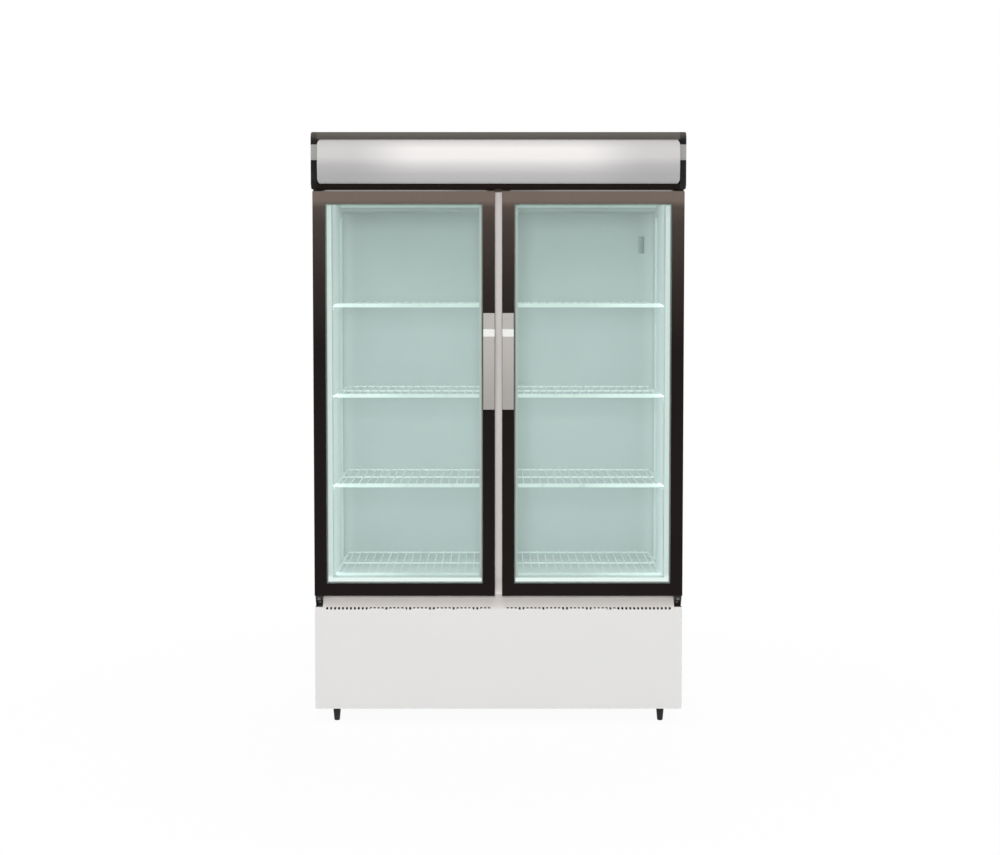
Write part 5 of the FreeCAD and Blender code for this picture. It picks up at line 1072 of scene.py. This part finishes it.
class FRIDGE_OT_bands(bpy.types.Operator):
    """Add the grey bands in the grooves of the canopy's end caps"""

    bl_idname = "fridge.bands"
    bl_label = "Add Cap Bands"

    def execute(self, context):
        trim = context.scene.fridge_trim
        colours = context.scene.fridge_colours
        outer = CAP_BOX[1].x
        nose = CAP_BOX[0].y
        turn = Vector((outer - trim.band_corner, nose + trim.band_corner, 0))
        middle = trim.band_low + trim.band_height / 2
        run = trim.band_back - turn.y
        band = new_cube(
            "cap_band_right", (outer - trim.band_thick / 2, turn.y + run / 2, middle),
            (trim.band_thick, run, trim.band_height))
        pick_faces(band, lambda centre, normal: normal.y < -SQUARE_ON)
        bpy.ops.mesh.spin(
            steps=BEND_STEPS, angle=math.pi / 2, center=(turn.x, turn.y, middle), axis=(0, 0, 1))
        clean_mesh(band)
        pick_faces(
            band, lambda centre, normal: normal.x < -SQUARE_ON and centre.x < turn.x + NEAR)
        bpy.ops.mesh.extrude_region_move(
            TRANSFORM_OT_translate={"value": (trim.band_inner - turn.x, 0, 0)})
        clean_mesh(band)
        round_edges(band, trim.band_edge)
        mirror_copy(band, "cap_band_left")
        material = moulded_plastic("band_grey", colours.band_grey, 0.55)
        for side in SIDES:
            attach(f"cap_band_{side}", material)
        return {"FINISHED"}


class FRIDGE_OT_screws(bpy.types.Operator):
    """Add the cross-head screws that hold the rear grille and the back panel"""

    bl_idname = "fridge.screws"
    bl_label = "Add Sheet Screws"

    def execute(self, context):
        trim = context.scene.fridge_trim
        radius = trim.screw_radius
        height = trim.screw_height
        screw = new_disc("screw_model", SCREW_SIDES, radius, SCREW_RIM * height)
        pick_faces(screw, lambda centre, normal: normal.y > SQUARE_ON)
        for inset, rise in SCREW_DOME:
            bpy.ops.mesh.inset(thickness=inset * radius, depth=rise * height)
        bpy.ops.object.mode_set(mode="OBJECT")
        width = SLOT_WIDTH * radius
        run = SLOT_LENGTH * radius
        for size in ((width, height, run), (run, height, width)):
            cutter = new_cube("screw_slot", (0, height, 0), size)
            take(screw)
            slot = screw.modifiers.new("Slot", "BOOLEAN")
            slot.operation = "DIFFERENCE"
            slot.object = cutter
            bpy.ops.object.modifier_apply(modifier=slot.name)
            remove(cutter)
        clean_mesh(screw)
        smooth(screw)
        material = drawn_metal("screw_zinc", BRIGHT_ZINC, "Z", 0.3, 0.9)
        rows = {"grille_screw": self.grille_places(trim), "back_screw": self.back_places(trim)}
        for stem, places in rows.items():
            for index, place in enumerate(places):
                name = f"{stem}_{index + 1}"
                copy_to(screw, name, place)
                attach(name, material)
        remove(screw)
        return {"FINISHED"}

    def grille_places(self, trim):
        """Four screws along each long edge of the grille."""
        low, high = GRILLE_BOX
        inset = trim.screw_inset
        return [(x, high.y, z) for z in (low.z + inset, high.z - inset)
                for x in (low.x + inset, low.x / 3, high.x / 3, high.x - inset)]

    def back_places(self, trim):
        """Screws along the back panel's top edge and down its two sides."""
        low, high = BACK_BOX
        inset = trim.screw_inset
        top = high.z - inset
        run = top - low.z - inset
        across = [(x, high.y, top) for x in (low.x / 3, high.x / 3)]
        down = [(x, high.y, top - run * step / (SIDE_SCREWS - 1))
                for x in (low.x + inset, high.x - inset) for step in range(SIDE_SCREWS)]
        return across + down


class FRIDGE_OT_bolts(bpy.types.Operator):
    """Add the hexagon bolts that hold the lower hinge brackets"""

    bl_idname = "fridge.bolts"
    bl_label = "Add Hinge Bolts"

    def execute(self, context):
        trim = context.scene.fridge_trim
        radius = trim.bolt_radius
        bolt = new_disc("bolt_model", BOLT_SIDES, radius, trim.bolt_height)
        pick_faces(bolt, lambda centre, normal: normal.y < -SQUARE_ON)
        bpy.ops.mesh.inset(thickness=BOLT_INSET * radius, depth=BOLT_DOME * radius)
        bpy.ops.object.mode_set(mode="OBJECT")
        clean_mesh(bolt)
        round_edges(bolt, BOLT_EDGE * radius)
        wall = HINGE_BOX[1].y - trim.bolt_wall
        material = drawn_metal("bolt_steel", DARK_STEEL, "Z", 0.4, 0.6)
        for side in SIDES:
            name = f"hinge_bolt_{side}"
            x = PINS[f"{side}_door_hinge"].x
            place = (x, wall - trim.bolt_height, HINGE_BOX[0].z + trim.bolt_rise)
            copy_to(bolt, name, place)
            attach(name, material)
        remove(bolt)
        return {"FINISHED"}


def aim(place, target):
    """Turn that points an object's -Z from its place at a target."""
    return (Vector(target) - Vector(place)).to_track_quat("-Z", "Y").to_euler()


def add_lamp(name, place, target, size, watts, mirrored):
    """A soft square lamp that points at a target, and that glossy surfaces may mirror."""
    clear_selection()
    bpy.ops.object.light_add(type="AREA", location=place, rotation=aim(place, target))
    lamp = bpy.context.object
    lamp.name = name
    lamp.data.shape = "RECTANGLE"
    lamp.data.size = size[0]
    lamp.data.size_y = size[1]
    lamp.data.energy = watts
    lamp.visible_glossy = mirrored


def seen(recipe):
    """1 where a ray comes from the camera, or by way of metal or glass."""
    share = None
    for kind in ("Is Camera Ray", "Is Glossy Ray", "Is Transmission Ray"):
        ray = recipe.node("ShaderNodeLightPath", output=kind)
        share = ray if share is None else recipe.maths("MAXIMUM", share, ray)
    return share


class FRIDGE_OT_stage(bpy.types.Operator):
    """Set the floor, the sky, the lamps and the camera"""

    bl_idname = "fridge.stage"
    bl_label = "Set Stage"

    def execute(self, context):
        scene = context.scene
        stage = scene.fridge_stage
        self.add_floor(stage)
        self.add_sky(scene, stage)
        for name, place, target, size, setting, mirrored in LAMPS:
            add_lamp(name, place, target, size, getattr(stage, setting), mirrored)
        self.add_camera(scene, stage)
        scene.view_settings.view_transform = "Standard"
        scene.cycles.transparent_max_bounces = PANE_BOUNCES
        return {"FINISHED"}

    def add_floor(self, stage):
        clear_selection()
        bpy.ops.mesh.primitive_plane_add(size=FLOOR_SIZE, location=(0, 0, 0))
        floor = bpy.context.object
        floor.name = "studio_floor"
        finish = new_finish("floor_white")
        side = finish.axis("X")
        depth = finish.axis("Y")
        far = finish.span((side * side + depth * depth) ** 0.5, *FLOOR_FADE)
        plain = seen(finish) * (1 - stage.shadow_share * (1 - far))
        grain = finish.noise(3.0, 3.0)
        matte = finish.principled({
            "Base Color": finish.blend(grain, (0.86, 0.86, 0.86), (0.9, 0.9, 0.9)),
            "Roughness": 0.9, "Specular IOR Level": 0.1})
        white = finish.node("ShaderNodeEmission", None, {"Color": WHITE, "Strength": 1.0})
        floor.data.materials.append(
            finish.show(finish.node("ShaderNodeMixShader", None, {0: plain, 1: matte, 2: white})))

    def add_sky(self, scene, stage):
        scene.world = bpy.data.worlds.new("studio_sky")
        sky = Recipe(scene.world)
        light = sky.node("ShaderNodeBackground", None, {"Color": WHITE, "Strength": stage.ambient})
        white = sky.node("ShaderNodeBackground", None, {"Color": WHITE, "Strength": 1.0})
        shader = sky.node("ShaderNodeMixShader", None, {0: seen(sky), 1: light, 2: white})
        sky.show(shader, "ShaderNodeOutputWorld")

    def add_camera(self, scene, stage):
        face = DOOR_BOX[0].y
        place = (0, face - stage.camera_distance, stage.camera_height)
        clear_selection()
        bpy.ops.object.camera_add(location=place, rotation=aim(place, (0, face, stage.aim_height)))
        camera = bpy.context.object
        camera.name = "studio_camera"
        camera.data.lens = stage.lens
        camera.data.sensor_width = SENSOR_WIDTH
        camera.data.shift_x = stage.shift_x
        camera.data.shift_y = stage.shift_y
        scene.camera = camera


class FRIDGE_PT_dressing(bpy.types.Panel):
    """Steps and settings of the refrigerator's dressing"""

    bl_idname = "FRIDGE_PT_dressing"
    bl_label = "Display Refrigerator"
    bl_space_type = "VIEW_3D"
    bl_region_type = "UI"
    bl_category = "Refrigerator"

    def draw(self, context):
        layout = self.layout
        for step in STEPS:
            layout.operator(step.bl_idname)
        for name, group in GROUPS.items():
            box = layout.box()
            for setting in group.__annotations__:
                box.prop(getattr(context.scene, name), setting)


STEPS = (
    FRIDGE_OT_cabinet, FRIDGE_OT_doors, FRIDGE_OT_canopy, FRIDGE_OT_inside, FRIDGE_OT_machine,
    FRIDGE_OT_bands, FRIDGE_OT_screws, FRIDGE_OT_bolts, FRIDGE_OT_stage,
)
GROUPS = {"fridge_colours": FridgeColours, "fridge_trim": FridgeTrim, "fridge_stage": FridgeStage}


def register():
    for group in GROUPS.values():
        bpy.utils.register_class(group)
    for name, group in GROUPS.items():
        setattr(bpy.types.Scene, name, PointerProperty(type=group))
    for step in STEPS:
        bpy.utils.register_class(step)
    bpy.utils.register_class(FRIDGE_PT_dressing)


def unregister():
    bpy.utils.unregister_class(FRIDGE_PT_dressing)
    for step in reversed(STEPS):
        bpy.utils.unregister_class(step)
    for name in GROUPS:
        delattr(bpy.types.Scene, name)
    for group in reversed(GROUPS.values()):
        bpy.utils.unregister_class(group)


def main():
    """Registers the add-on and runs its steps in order."""
    register()
    bpy.ops.fridge.cabinet()
    bpy.ops.fridge.doors()
    bpy.ops.fridge.canopy()
    bpy.ops.fridge.inside()
    bpy.ops.fridge.machine()
    bpy.ops.fridge.bands()
    bpy.ops.fridge.screws()
    bpy.ops.fridge.bolts()
    bpy.ops.fridge.stage()


if __name__ == "__main__":
    main()
